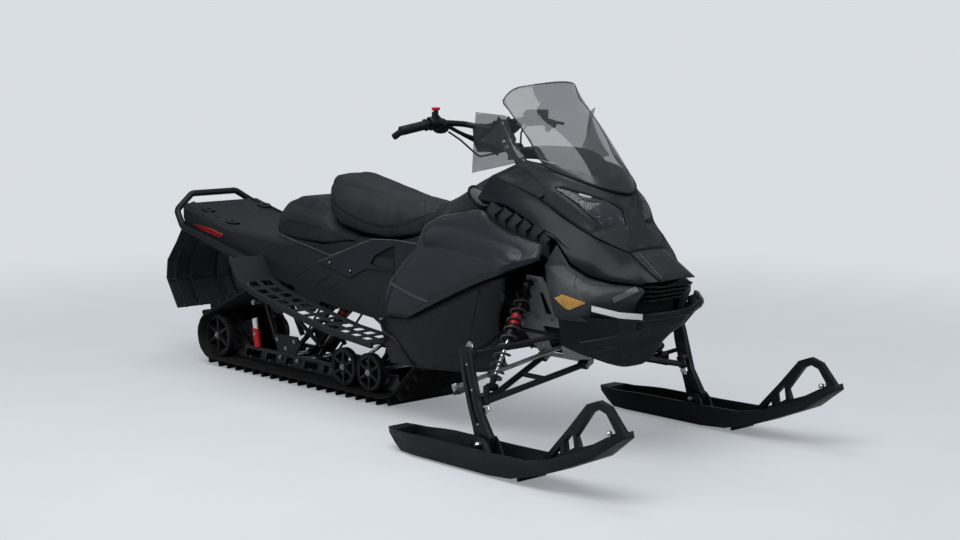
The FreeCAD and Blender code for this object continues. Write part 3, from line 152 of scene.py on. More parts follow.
def plastic(name, colour, rough, grain=900, depth=0.00012, vary=0.12, coat=0.0, spread=0.08, shine=0.25):
    """Moulded plastic: slight cloudiness of colour and gloss, and a fine moulded grain."""
    f = Finish(name)
    cloud = f.noise(6, 4)
    f.colour(f.ramp(cloud, tone(colour, 1 - vary), tone(colour, 1 + vary)))
    f.rough(f.ramp(f.noise(35, 5), (rough - spread,), (rough + spread,)))
    f.bump(f.noise(grain, 2), depth, 0.5)
    return f.set(Coat_Weight=coat, Coat_Roughness=0.06, Specular_IOR_Level=shine).mat


def metal(name, colour, rough, stretch=(4, 4, 300), depth=0.00006, scratch=0.12):
    """Bare metal with drawn or brushed streaks and small changes of gloss."""
    f = Finish(name)
    streak = f.noise(12, 4, stretch)
    f.colour(f.ramp(f.noise(9, 4), tone(colour, 0.85), tone(colour, 1.1)))
    f.rough(f.ramp(streak, (rough - scratch,), (rough + scratch,)))
    f.bump(streak, depth, 0.6)
    return f.set(Metallic=1.0).mat


def paint(name, colour, rough, coat, dust=(0.16, 0.16, 0.155), shine=0.2):
    """Powder-coated or painted metal: orange-peel, and a little pale dust in broad patches."""
    f = Finish(name)
    patch = f.ramp(f.noise(3.5, 6, rough=0.65), (0.0,), (0.10,), 0.45, 0.75)
    f.colour(f.mix(patch, colour, dust))
    f.rough(f.ramp(f.noise(20, 5), (rough - 0.07,), (rough + 0.09,)))
    f.bump(f.noise(260, 2), 0.00015, 0.5)
    return f.set(Coat_Weight=coat, Coat_Roughness=0.12, Specular_IOR_Level=shine).mat


def flake_paint(name, colour, rough, shine=0.15):
    """Deep gloss panel colour with fine metallic flake under a clear coat."""
    f = Finish(name)
    flake = f.cells(1800)
    spark = f.ramp(flake, tone(colour, 1.5), tone(colour, 0.9), 0.1, 0.5)
    f.colour(f.mix(f.noise(2.5, 3), spark, tone(colour, 0.8)))
    f.rough(f.ramp(f.noise(14, 4), (rough - 0.04,), (rough + 0.04,)))
    f.bump(f.noise(60, 2), 0.00008, 0.35)
    return f.set(Coat_Weight=0.06, Coat_Roughness=0.12, Metallic=0.0, Specular_IOR_Level=shine).mat


def vinyl(name, colour, rough, scale=420):
    """Upholstery vinyl: pebbled leather grain with soft colour change."""
    f = Finish(name)
    f.colour(f.ramp(f.noise(7, 5), tone(colour, 0.82), tone(colour, 1.18)))
    f.rough(f.ramp(f.noise(50, 4), (rough - 0.06,), (rough + 0.08,)))
    grain = f.bump(f.cells(scale), 0.0004, 0.55)
    f.bump(f.noise(30, 4), 0.0006, 0.2, grain)
    return f.set(Specular_IOR_Level=0.22).mat


def woven(name, colour, pitch=0.004):
    """Side cloth of the seat: a fine crossed weave."""
    f = Finish(name)
    waves = []
    for direction in ("X", "Z"):
        wave = f.node("ShaderNodeTexWave", Scale=1 / pitch / 6.28, wave_type="BANDS", bands_direction=direction)
        f.link(f.coords, wave.inputs["Vector"])
        waves.append(wave.outputs["Fac"])
    both = f.node("ShaderNodeMath", operation="MULTIPLY")
    f.link(waves[0], both.inputs[0])
    f.link(waves[1], both.inputs[1])
    f.colour(f.ramp(both.outputs[0], tone(colour, 0.7), tone(colour, 1.3), 0.1, 0.8))
    f.rough(f.ramp(f.noise(40, 3), (0.6,), (0.75,)))
    f.bump(both.outputs[0], 0.0003, 0.7)
    return f.mat


def rubber(name, colour, rough=0.78):
    """Moulded rubber, a little scuffed and dusty on its faces."""
    f = Finish(name)
    scuff = f.ramp(f.noise(22, 8, rough=0.7), (0.0,), (0.35,), 0.48, 0.8)
    f.colour(f.mix(scuff, colour, tone(colour, 3.2)))
    f.rough(f.ramp(f.noise(30, 5), (rough - 0.1,), (rough + 0.1,)))
    f.bump(f.noise(140, 5), 0.0005, 0.5)
    return f.set(Specular_IOR_Level=0.2).mat


def clear(name, colour, alpha, rough=0.03):
    """Thin clear or tinted plastic, seen through, with faint haze in patches."""
    f = Finish(name)
    f.colour(f.ramp(f.noise(4, 3), tone(colour, 0.95), tone(colour, 1.05)))
    f.rough(f.ramp(f.noise(9, 5), (rough,), (rough + 0.05,)))
    f.bump(f.noise(5, 2), 0.0006, 0.15)
    return f.set(Alpha=alpha, Coat_Weight=0.4, Coat_Roughness=0.03).mat


def lens(name, colour, cells=170):
    """Reflector or lamp plastic with a moulded prism pattern."""
    f = Finish(name)
    prisms = f.cells(cells)
    f.colour(f.ramp(prisms, tone(colour, 1.15), tone(colour, 0.75), 0.05, 0.6))
    f.rough(f.ramp(f.noise(30, 3), (0.12,), (0.22,)))
    f.bump(prisms, 0.0005, 0.5)
    return f.set(Coat_Weight=1.0, Coat_Roughness=0.04).mat


GLOSS = flake_paint("gloss_panel", (0.0070, 0.0098, 0.0132), 0.42)
PANEL = flake_paint("side_panel_gloss", (0.0165, 0.0205, 0.0255), 0.42, 0.3)
SATIN = plastic("satin_panel", (0.020, 0.021, 0.024), 0.48, grain=1100)
MATTE = plastic("matte_plastic", (0.012, 0.0125, 0.014), 0.52, grain=700, depth=0.0002)
BLACK = plastic("black_plastic", (0.0075, 0.008, 0.009), 0.42, grain=800)
GREY = plastic("grey_plastic", (0.12, 0.125, 0.13), 0.42, grain=900)
# light grey: the real lip trim's own colour, and also a painted highlight where its lines stand for light caught by
# grooves, creases and edges
LIP_AND_HIGHLIGHT = plastic("lip_and_highlight_plastic", (0.10, 0.108, 0.115), 0.35, grain=900)
FACET = plastic("fairing_plastic", (0.047, 0.053, 0.058), 0.42, grain=1000)
LOUVRE = plastic("louvre_plastic", (0.030, 0.031, 0.034), 0.46, grain=800)
COAT = paint("tunnel_paint", (0.020, 0.0235, 0.0255), 0.55, 0.0, (0.036, 0.039, 0.041), 0.12)
DARK_METAL = paint("frame_black", (0.008, 0.0085, 0.0095), 0.40, 0.1, (0.03, 0.03, 0.03))
PLATE = paint("frame_grey", (0.36, 0.365, 0.37), 0.42, 0.0, (0.44, 0.44, 0.44))
SPRING = paint("spring_grey", (0.055, 0.057, 0.060), 0.38, 0.2, (0.10, 0.10, 0.10))
VINYL = vinyl("seat_vinyl", (0.0185, 0.0205, 0.0245), 0.58)
BASE_VINYL = vinyl("seat_base_vinyl", (0.0135, 0.015, 0.0175), 0.60, 520)
TRACK = rubber("track_rubber", (0.010, 0.010, 0.0105))
GRIP = rubber("grip_rubber", (0.009, 0.009, 0.0095), 0.62)
WHEEL = plastic("wheel_plastic", (0.011, 0.011, 0.012), 0.38)
STEEL = metal("bright_steel", (0.50, 0.51, 0.53), 0.28)
ALLOY = metal("alloy", (0.065, 0.067, 0.071), 0.40, (60, 60, 60))
CHROME = metal("polished_steel", (0.78, 0.79, 0.80), 0.14, (4, 4, 200), 0.00002, 0.05)
SCREEN = clear("clear_screen", (0.055, 0.058, 0.062), 0.48)
BAND = plastic("screen_band", (0.030, 0.031, 0.034), 0.22, vary=0.05, coat=0.3)
LENS = clear("headlight_lens", (0.07, 0.08, 0.09), 0.42, 0.02)
MIRROR = metal("lamp_reflector", (0.40, 0.43, 0.45), 0.18, (30, 30, 30), 0.00004, 0.05)
GLASS = lens("lamp_glass", (0.13, 0.155, 0.17), 60)
AMBER = lens("amber_reflector", (0.80, 0.40, 0.03))
RED = lens("red_reflector", (0.30, 0.006, 0.009))
WHITE = lens("white_reflector", (0.80, 0.81, 0.82), 420)
RED_PAINT = plastic("red_plastic", (0.55, 0.012, 0.018), 0.35)
WHITE_PAINT = plastic("white_paint", (0.86, 0.86, 0.85), 0.40)
DISPLAY = plastic("display_glass", (0.006, 0.008, 0.011), 0.12, grain=60, depth=0.00002, vary=0.3, coat=1.0)


# ---------------------------------------------------------------- piece helpers
def new_piece(name, bm, mats, body, smooth=True):
    mesh = bpy.data.meshes.new(name)
    bm.normal_update()
    bm.to_mesh(mesh)
    bm.free()
    obj = bpy.data.objects.new(name, mesh)
    bpy.context.scene.collection.objects.link(obj)
    for m in (mats if isinstance(mats, (list, tuple)) else [mats]):
        mesh.materials.append(m)
    if smooth:
        mesh.shade_smooth()
    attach(obj, body)
    return obj


def clean_copy(node, join=True):
    """The node's mesh with shared points, and its triangles paired back into quads."""
    bm = bmesh.new()
    bm.from_mesh(NODES[node].data)
    bmesh.ops.remove_doubles(bm, verts=bm.verts, dist=2e-5)
    bmesh.ops.dissolve_degenerate(bm, edges=bm.edges, dist=1e-6)
    if join:
        bmesh.ops.join_triangles(bm, faces=bm.faces, angle_face_threshold=math.radians(35),
                                 angle_shape_threshold=math.radians(60))
    for layer in list(bm.loops.layers.uv):
        bm.loops.layers.uv.remove(layer)
    return bm


def formed(node, mats, sharp=34, levels=2, pick=None, round_edge=0.0):
    """Smooth form of a panel node: soft between its lines, crisp where they fold sharply."""
    bm = clean_copy(node)
    crease = bm.edges.layers.float.new("crease_edge")
    for edge in bm.edges:
        if len(edge.link_faces) == 2 and edge.calc_face_angle(0) > math.radians(sharp):
            edge[crease] = 1.0
    if pick:
        for face in bm.faces:
            face.material_index = pick(face.calc_center_median(), face.normal)
    obj = new_piece(node + "_form", bm, mats, BODY_OF[node])
    sub = obj.modifiers.new("form", "SUBSURF")
    sub.levels = sub.render_levels = levels
    if round_edge:
        add_bevel(obj, round_edge, 34)
    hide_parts(node)
    return obj


def add_bevel(obj, width, angle=34, segments=2):
    mod = obj.modifiers.new("edges", "BEVEL")
    mod.width = width
    mod.segments = segments
    mod.limit_method = "ANGLE"
    mod.angle_limit = math.radians(angle)
    mod.harden_normals = True


def edged(node, mats, width=0.0012, pick=None, angle=34):
    """Hard part with small rounded edges, so that they catch the light."""
    bm = clean_copy(node, join=False)
    bmesh.ops.dissolve_limit(bm, angle_limit=math.radians(0.6), verts=bm.verts, edges=bm.edges)
    if pick:
        for face in bm.faces:
            face.material_index = pick(face.calc_center_median(), face.normal)
    obj = new_piece(node + "_part", bm, mats, BODY_OF[node])
    add_bevel(obj, width, angle)
    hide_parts(node)
    return obj


MM = 0.001


def mm(point):
    return Vector(point) * MM


def sided(points, side):
    """Points of one half, put on the left side (1) or on the right (-1)."""
    return [(x, side * abs(y), z) for x, y, z in points]


def inward(way, side):
    return (way[0], -side * way[1], way[2])


def curved(points, steps=6):
    """Smooth line through the points, in millimetres."""
    pts = [Vector(p) for p in points]
    line = []
    for i in range(len(pts) - 1):
        a, b = pts[max(i - 1, 0)], pts[i]
        c, d = pts[i + 1], pts[min(i + 2, len(pts) - 1)]
        for k in range(steps):
            t = k / steps
            line.append(0.5 * ((2 * b) + (c - a) * t + (2 * a - 5 * b + 4 * c - d) * t ** 2
                               + (3 * b - a - 3 * c + d) * t ** 3))
    return line + [pts[-1]]


def helix(a, b, r, turns, steps=18):
    """Line of a spring between two points on its axis."""
    a, b = Vector(a), Vector(b)
    way = (b - a).normalized()
    side = way.orthogonal().normalized()
    other = way.cross(side)
    count = int(turns * steps)
    return [a + (b - a) * (i / count) + (side * math.cos(i / steps * math.tau)
                                         + other * math.sin(i / steps * math.tau)) * r for i in range(count + 1)]


class Kit:
    """Parts of one body gathered in one piece. All sizes are in millimetres."""

    def __init__(self, name, body, mats):
        self.name, self.body, self.mats = name, body, mats
        self.bm = bmesh.new()

    def paint(self, verts, mat):
        for face in {f for vert in verts for f in vert.link_faces}:
            face.material_index = self.mats.index(mat)

    def rod(self, a, b, r, mat, sides=20, tip=None):
        """Round bar from a to b, or a cone when its tip differs."""
        a, b = mm(a), mm(b)
        turn = (b - a).to_track_quat("Z", "Y").to_matrix().to_4x4()
        made = bmesh.ops.create_cone(self.bm, cap_ends=True, segments=sides, radius1=r * MM,
                                     radius2=(r if tip is None else tip) * MM, depth=(b - a).length,
                                     matrix=Matrix.Translation((a + b) / 2) @ turn)
        self.paint(made["verts"], mat)

    def bolt(self, at, way, r, mat):
        """Hexagon head on its washer, standing out along way."""
        at, way = Vector(at), Vector(way).normalized()
        self.rod(at - way * r, at + way * r * 0.25, r * 1.4, mat, 24)
        self.rod(at + way * r * 0.25, at + way * r * 0.95, r, mat, 6, r * 0.95)
        self.rod(at + way * r * 0.95, at + way * r * 1.3, r * 0.5, mat, 14)

    def ball(self, at, radii, mat, turn=None):
        shape = Matrix.Diagonal((*mm(radii), 1))
        made = bmesh.ops.create_uvsphere(self.bm, u_segments=28, v_segments=16, radius=1,
                                         matrix=Matrix.Translation(mm(at)) @ (turn or Matrix()) @ shape)
        self.paint(made["verts"], mat)

    def plate(self, outline, way, mat):
        """Prism of a closed outline pushed along way."""
        base = [self.bm.verts.new(mm(p)) for p in outline]
        made = bmesh.ops.extrude_face_region(self.bm, geom=[self.bm.faces.new(base)])
        far = [g for g in made["geom"] if isinstance(g, bmesh.types.BMVert)]
        bmesh.ops.translate(self.bm, verts=far, vec=mm(way))
        self.paint(base + far, mat)

    def holed(self, outline, hole, way, mat):
        """Plate with a hole through it."""
        edges = []
        for ring in (outline, hole):
            verts = [self.bm.verts.new(mm(p)) for p in ring]
            edges += [self.bm.edges.new((v, verts[i - 1])) for i, v in enumerate(verts)]
        filled = bmesh.ops.triangle_fill(self.bm, use_beauty=True, edges=edges)["geom"]
        faces = [g for g in filled if isinstance(g, bmesh.types.BMFace)]
        made = bmesh.ops.extrude_face_region(self.bm, geom=faces)
        far = [g for g in made["geom"] if isinstance(g, bmesh.types.BMVert)]
        bmesh.ops.translate(self.bm, verts=far, vec=mm(way))
        self.paint(far + [v for f in faces for v in f.verts], mat)

    def path(self, points, r, mat, sides=10):
        """Round bar swept along a line."""
        spots = [mm(p) for p in points]
        rows = []
        side = None
        for i, spot in enumerate(spots):
            ahead = (spots[min(i + 1, len(spots) - 1)] - spots[max(i - 1, 0)]).normalized()
            side = side or ahead.orthogonal()
            side = (side - ahead * side.dot(ahead)).normalized()
            other = ahead.cross(side)
            rows.append([self.bm.verts.new(spot + (side * math.cos(k / sides * math.tau)
                                                   + other * math.sin(k / sides * math.tau)) * r * MM)
                         for k in range(sides)])
        for row, after in zip(rows, rows[1:]):
            for k in range(sides):
                self.bm.faces.new((row[k - 1], row[k], after[k], after[k - 1]))
        self.bm.faces.new(rows[0])
        self.bm.faces.new(list(reversed(rows[-1])))
        self.paint([v for row in rows for v in row], mat)

    def skin(self, rows, mat, closed=False):
        """Open surface through rows of points."""
        grid = [[self.bm.verts.new(mm(p)) for p in row] for row in rows]
        for row, after in zip(grid, grid[1:]):
            for k in range(0 if closed else 1, len(row)):
                corners = (row[k - 1], row[k], after[k], after[k - 1])
                if len({tuple(round(c, 6) for c in v.co) for v in corners}) > 2:
                    self.bm.faces.new(corners)
        self.paint([v for row in grid for v in row], mat)

    def seam(self, tree, points, way, r, mat, sunk=0.5, steps=8):
        """Line laid on a surface, part of its thickness below it."""
        self.path([laid(tree, p, way, r * (1 - 2 * sunk)) for p in curved(points, steps)], r, mat, 8)

    def patch(self, tree, edge_a, edge_b, way, thick, mat, columns=14, rows=4):
        """Thin plate laid on a surface between two lines."""
        a, b = spread(edge_a, columns), spread(edge_b, columns)
        grid = [[laid(tree, p.lerp(q, k / rows), way, thick) for k in range(rows + 1)] for p, q in zip(a, b)]
        under = [[laid(tree, p.lerp(q, k / rows), way, -1.0) for k in range(rows + 1)] for p, q in zip(a, b)]
        self.skin(grid, mat)
        self.skin([grid[0], under[0]], mat)
        self.skin([grid[-1], under[-1]], mat)
        self.skin([[row[0] for row in grid], [row[0] for row in under]], mat)
        self.skin([[row[-1] for row in grid], [row[-1] for row in under]], mat)

    def done(self, sharp=38, bevel=0.0):
        bmesh.ops.remove_doubles(self.bm, verts=self.bm.verts, dist=1e-6)
        bmesh.ops.recalc_face_normals(self.bm, faces=self.bm.faces)
        obj = new_piece(self.name, self.bm, self.mats, self.body)
        obj.data.set_sharp_from_angle(angle=math.radians(sharp))
        if bevel:
            add_bevel(obj, bevel, sharp)
        return obj


def spread(points, count):
    """The same line as count + 1 points, evenly apart."""
    pts = [Vector(p) for p in points]
    lengths = [(b - a).length for a, b in zip(pts, pts[1:])]
    total = sum(lengths)
    line = []
    for i in range(count + 1):
        left = total * i / count
        k = 0
        while k < len(lengths) - 1 and left > lengths[k]:
            left -= lengths[k]
            k += 1
        line.append(pts[k].lerp(pts[k + 1], min(left / lengths[k], 1) if lengths[k] else 0))
    return line


def laid(tree, point, way, lift):
    """Point moved along way onto a surface, then lifted off it; unchanged where there is none near."""
    way = Vector(way).normalized()
    point = Vector(point)
    hit, normal, _, gap = tree.ray_cast(mm(point - way * 60), way)
    if hit is None or gap > 0.13:
        return point
    if normal.dot(way) > 0:
        normal = -normal
    return hit / MM + normal * lift


def surface(obj):
    return BVHTree.FromObject(obj, bpy.context.evaluated_depsgraph_get())


def settle(obj):
    """Its modifiers become its mesh."""
    deps = bpy.context.evaluated_depsgraph_get()
    mesh = bpy.data.meshes.new_from_object(obj.evaluated_get(deps))
    obj.modifiers.clear()
    old = obj.data
    obj.data = mesh
    bpy.data.meshes.remove(old)


def positions(mesh):
    flat = np.empty(len(mesh.vertices) * 3)
    mesh.vertices.foreach_get("co", flat)
    return flat.reshape(-1, 3)


def place(mesh, spots):
    mesh.vertices.foreach_set("co", spots.ravel())
    mesh.update()


def press(obj, line, width, depth):
    """A sewn channel: points near a line pushed in along their normals."""
    mesh = obj.data
    spots = positions(mesh)
    normals = np.array([v.vector for v in mesh.vertex_normals])
    gap = np.full(len(spots), 1e9)
    track = np.array([mm(p) for p in curved(line, 6)])
    for a, b in zip(track, track[1:]):
        t = np.clip((spots - a) @ (b - a) / max((b - a) @ (b - a), 1e-12), 0, 1)[:, None]
        gap = np.minimum(gap, np.linalg.norm(spots - (a + (b - a) * t), axis=1))
    place(mesh, spots - normals * (depth * np.exp(-(gap / width) ** 2))[:, None])


# ---------------------------------------------------------------- bodywork
skins = {}
for node, mats, sharp in (("hood", SATIN, 34), ("nose_panel", SATIN, 34),
                          ("side_panels", PANEL, 30), ("lower_panels", MATTE, 34), ("fuel_tank", MATTE, 34), ("console", BLACK, 34),
                          ("dash", MATTE, 34), ("wind_deflectors", SCREEN, 34), ("windshield", SCREEN, 50)):
    skins[node] = formed(node, mats, sharp)
for node, mats, width in (
        ("track", TRACK, 0.0015), ("rear_wheels", WHEEL, 0.0012), ("idler_wheels", WHEEL, 0.0012),
        ("rail_axles", STEEL, 0.0008), ("slide_rails", ALLOY, 0.001), ("track_arms", DARK_METAL, 0.002),
        ("drive_axle", DARK_METAL, 0.001), ("tunnel", COAT, 0.001),
        ("cargo_anchors", BLACK, 0.001), ("running_boards", COAT, 0.001), ("rear_bumper", DARK_METAL, 0.003),
        ("tail_reflectors", RED, 0.002), ("snow_flap", SATIN, 0.002),
        ("hood_sides", GLOSS, 0.002), ("front_fairings", FACET, 0.003), ("front_bumper", BLACK, 0.0025), ("grille", BLACK, 0.0015), ("front_frame", PLATE, 0.001), ("headlights", LENS, 0.0006),
        ("engine", DARK_METAL, 0.003), ("suspension_arms", DARK_METAL, 0.001),
        ("ski_leg_left", DARK_METAL, 0.0015), ("ski_leg_right", DARK_METAL, 0.0015),
        ("ski_left", BLACK, 0.006), ("ski_right", BLACK, 0.006), ("handlebar", DARK_METAL, 0.0008),
        ("hand_grips", GRIP, 0.001), ("tie_rod_left", STEEL, 0.0008),
        ("tie_rod_right", STEEL, 0.0008), ("steering_arm", DARK_METAL, 0.001)):
    skins[node] = edged(node, mats, width)
skins["hand_controls"] = edged("hand_controls", [BLACK, RED_PAINT], 0.0012,
                               pick=lambda c, n: int(c.y < 0 and c.z > 1.166))
for node in ("throttle_cable", "brake_hose"):
    edged(node, GRIP, 0.0002, angle=60)
# knee hollow of the side panels between its two soft ridges
KNEE_HOLLOW = [(344, 285, 705), (425, 297, 720), (501, 308, 721), (618, 328, 714), (751, 356, 708), (846, 361, 696)]
KNEE_RIDGES = ([(382, 260, 776), (479, 274, 773), (644, 305, 757), (789, 321, 739), (885, 319, 723)],
               [(309, 288, 670), (426, 323, 665), (527, 341, 658), (661, 367, 659), (786, 389, 666), (861, 380, 662)])
settle(skins["side_panels"])
for side in (1, -1):
    press(skins["side_panels"], sided(KNEE_HOLLOW, side), 0.030, 0.017)
    for ridge in KNEE_RIDGES:
        press(skins["side_panels"], sided(ridge, side), 0.012, -0.004)
skins["side_panels"].data.shade_smooth()
trees = {node: surface(obj) for node, obj in skins.items()}


def louvre_skin(side):
    """Chevron louvres of a side outlet: each blade leans out toward the front and steps back to the next."""
    rows = []
    for k in range(7):
        x, z, arm = 616 + 50 * k, 816 - 15 * k, 42 - 2.5 * k
        for out in ((0,) if k == 0 else (14, 0)):
            y = 238 + out - 2 * k
            rise = min(20, 42 - 6 * k)
            crown = laid(trees["hood_sides"], (x + arm + rise / 2, 260, z + 0.6 * arm + rise), (0, -1, 0),
                         1 + 0.6 * out)
            rows.append(sided([tuple(crown), (x + 6, y + 14, z + 11), (x + 10, y + 14, z - 1.25 * arm),
                               (x + 22, y + 12, z - 1.25 * arm - 14)], side))
    return rows


vents = Kit("side_vent_louvres", BODY_OF["side_vents"], [LOUVRE, BLACK])
for side in (1, -1):
    vents.skin(louvre_skin(side), LOUVRE)
vents_piece = vents.done(24, 0.0008)
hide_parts("side_vents")

# lines of the bodywork on one side: surface, how it is laid, radius, material, points
SIDEWAYS = (0, 1, 0)
PANEL_LINES = (
    ("hood", (0, 1, -1), 1.5, BLACK, [(640, 212, 944), (676, 170, 973), (708, 168, 973), (802, 190, 945),
                                      (853, 197, 907), (876, 203, 871)]),
    ("hood", (0, 1, -1), 0.9, MATTE, [(733, 214, 919), (762, 201, 940), (786, 190, 954)]),
    ("side_panels", SIDEWAYS, 1.4, BLACK, [(124, 280, 511), (220, 315, 503), (312, 344, 494), (447, 375, 487)]),
    # dark lines along the fairing's facet creases: painted shade of the folds
    ("front_fairings", SIDEWAYS, 1.1, BLACK, [(978, 245, 681), (1054, 245, 635), (1102, 227, 611), (1172, 163, 603)]),
    ("front_fairings", SIDEWAYS, 1.1, BLACK, [(1054, 245, 635), (1066, 262, 612), (1075, 272, 592)]),
    # light line along the nose panel's groove: a painted highlight, beside the dark groove line
    ("nose_panel", (0, 0, -1), 1.3, LIP_AND_HIGHLIGHT, [(1165, 58, 706), (1285, 74, 626)]),
    ("nose_panel", (0, 0, -1), 1.1, BLACK, [(1165, 53, 706), (1290, 68, 624)]),
    # dark lines on the tunnel side where it is pressed into grooves: painted shade in the grooves
    ("tunnel", SIDEWAYS, 2.0, BLACK, [(-565, 205, 467), (-500, 205, 499), (-483, 205, 505)]),
    ("tunnel", SIDEWAYS, 2.0, BLACK, [(-434, 205, 446), (-342, 205, 492)]),
    ("tunnel", SIDEWAYS, 2.0, BLACK, [(-356, 205, 432), (-284, 205, 473)]),
)
LIP_LINE = [(131, 329, 404), (121, 275, 525), (252, 263, 660), (270, 257, 702), (290, 251, 744), (380, 252, 784),
            (515, 256, 808), (600, 260, 824), (700, 281, 777), (830, 293, 748), (936, 287, 730)]
BAR_LINE = [(126, 336, 402), (146, 336, 352), (160, 337, 338), (208, 331, 320), (250, 319, 268), (284, 302, 222)]
# plates laid on one side: surface, how it is laid, thickness, material, two edges
PATCHES = (
    ("front_fairings", SIDEWAYS, 2.2, AMBER, [(996, 284, 560), (1041, 292, 575), (1116, 266, 555)],
     [(996, 284, 556), (1053, 278, 523), (1116, 266, 551)]),
    ("front_fairings", (-1, 1, 0), 2.5, GREY, [(1172, 197, 568), (1215, 125, 606)],
     [(1180, 193, 552), (1224, 123, 590)]),
    # lighter strip along the side panel's crease: a painted highlight
    ("side_panels", SIDEWAYS, 1.2, FACET, [(126, 282, 522), (222, 317, 514), (314, 346, 505), (449, 376, 497)],
     [(124, 280, 512), (220, 315, 504), (312, 344, 495), (447, 375, 488)]),
    ("lower_panels", SIDEWAYS, 1.5, BLACK, [(470, 340, 470), (600, 345, 510), (700, 350, 570)],
     [(420, 310, 330), (500, 300, 300), (560, 290, 310)]),
)
trim = Kit("bodywork_trim", BODY_OF["hood"], [BLACK, MATTE, LIP_AND_HIGHLIGHT, GREY, WHITE_PAINT, AMBER, STEEL, BAND, FACET])
for side in (1, -1):
    for node, way, r, mat, points in PANEL_LINES:
        trim.seam(trees[node], sided(points, side), inward(way, side), r, mat)
    for node, way, thick, mat, edge_a, edge_b in PATCHES:
        trim.patch(trees[node], sided(edge_a, side), sided(edge_b, side), inward(way, side), thick, mat)
    trim.path(sided(spread(LIP_LINE, 60), side), 2.6, LIP_AND_HIGHLIGHT)
    trim.path(curved(sided(BAR_LINE, side)), 6, BLACK)
    trim.bolt(sided([(133, 334, 388)], side)[0], (0, side, 0), 6, STEEL)
    knob = sided([(848, 206, 884)], side)[0]
    trim.rod(knob, Vector(knob) + Vector((2, side * 6, 6)), 9, BLACK)
    trim.rod(Vector(knob) + Vector((2, side * 6, 6)), Vector(knob) + Vector((3, side * 8, 8)), 5.5, MATTE)
    corner = sided([(556, 232, 868)], side)[0]
    slope = Matrix.Rotation(math.radians(24), 4, "Y")
    trim.ball(Vector(corner) - Vector((0, side * 10, 4)), (58, 13, 27), GREY, slope)
    trim.ball(Vector(corner) - Vector((4, side * 13, 7)), (70, 13, 37), BLACK, slope)
    # marker strip on the bumper's face
    strip = [(1150, 270, 528), (1225, 214, 508), (1254, 134, 497)][:2 if side == 1 else 3]
    trim.skin([sided([(x, y, z + rise) for x, y, z in strip], side) for rise in (20, 0)], WHITE_PAINT)
# dark band and bead round the screen's foot, and its rim
BASE = [(1064 - 222 * t * t, 183 * t, 899 + 89 * t * t) for t in [k / 10 for k in range(-10, 11)]]
TOP = [(x - 34, y * 1.01, z + 52 - 26 * abs(y) / 183) for x, y, z in BASE]
trim.patch(trees["windshield"], BASE, TOP, (-1, 0, 0.4), 1.0, BAND, 40, 3)
trim.path(curved(BASE, 2), 4, BLACK)
trim.done()

screen_rim = Kit("screen_rim", BODY_OF["windshield"], [BAND])
SCREEN_EDGE = [(842, 183, 988), (806, 190, 1022), (776, 194, 1070), (728, 197, 1122), (676, 199, 1174), (638, 194, 1208),
               (655, 157, 1250), (698, 100, 1264), (724, 50, 1270), (732, 0, 1272)]
whole = SCREEN_EDGE + [(x, -y, z) for x, y, z in reversed(SCREEN_EDGE[:-1])]
screen_rim.path([(x + 3, y * 0.985, z - 3) for x, y, z in curved(whole, 4)], 2.0, BAND, 8)
screen_rim.done()

# ---------------------------------------------------------------- belly pan, and black sheets behind the hem that stand in for the shade of the recess there
# half of the pan in five lines, from its upper edge down to its keel, each from the rear round to the middle
PAN_ROWS = (
    [(985, 262, 500), (1060, 262, 502), (1140, 250, 504), (1205, 205, 500), (1243, 112, 490), (1250, 0, 488)],
    [(985, 244, 390), (1055, 216, 403), (1125, 192, 422), (1180, 160, 440), (1216, 100, 452), (1226, 0, 454)],
    [(1010, 180, 356), (1077, 166, 373), (1110, 140, 380), (1124, 110, 386), (1132, 70, 390), (1134, 0, 392)],
    [(1040, 108, 326), (1060, 92, 318), (1085, 82, 316), (1105, 74, 320), (1112, 50, 322), (1114, 0, 322)],
    [(1036, 40, 308), (1055, 45, 304), (1080, 45, 304), (1100, 40, 306), (1106, 25, 308), (1106, 0, 308)],
    [(1036, 0, 308), (1055, 0, 303), (1080, 0, 303), (1100, 0, 305), (1105, 0, 307), (1106, 0, 308)])
# black sheets across the front behind the hem, each a height, a rise and a half outline: painted shade of the recess
# there
SHADE_SHEETS = ((560, 52, [(960, 200), (1070, 200), (1120, 172), (1160, 146), (1195, 112), (1225, 70), (1232, 0)]),
         (612, 56, [(960, 205), (1070, 195), (1110, 170), (1140, 140), (1160, 100), (1170, 0)]),
         (470, 90, [(990, 200), (1080, 200), (1150, 160), (1190, 90), (1196, 0)]))
pan = Kit("belly_shell", BODY_OF["belly_pan"], [MATTE, BLACK, LIP_AND_HIGHLIGHT, FACET])
for side in (1, -1):
    pan.skin([sided(row, side) for row in PAN_ROWS], MATTE)
    for low, high, part, r, mat in ((0, 1, 0.3, 2.6, BLACK), (0, 1, 0.55, 2.6, BLACK), (0, 1, 0.8, 2.6, BLACK)):
        line = [Vector(a).lerp(Vector(b), part) for a, b in zip(PAN_ROWS[low][3:], PAN_ROWS[high][3:])]
        pan.path(sided([line[0].lerp(line[1], 0.75), line[1], line[2]], side), r, mat)
    # light lines along the pan's facet edges: painted highlights
    pan.path(sided([(1050, 219, 405), (1125, 194, 424), (1178, 163, 441)], side), 1.5, LIP_AND_HIGHLIGHT)
    pan.path(sided([(1077, 167, 373), (1109, 143, 381), (1124, 112, 387)], side), 1.0, LIP_AND_HIGHLIGHT)
    pan.path(sided([(1206, 206, 499), (1181, 162, 442)], side), 1.3, BLACK)
    # inner wall of the engine bay
    pan.plate([(x, side * 132, z) for x, z in ((650, 500), (950, 500), (955, 620), (930, 760), (660, 800))],
              (0, side * 4, 0), BLACK)
for low, rise, half in SHADE_SHEETS:
    pan.plate([(x, y, low) for x, y in half] + [(x, -y, low) for x, y in half[-2::-1]], (0, 0, rise), BLACK)
pan_piece = pan.done(14)
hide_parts("belly_pan")

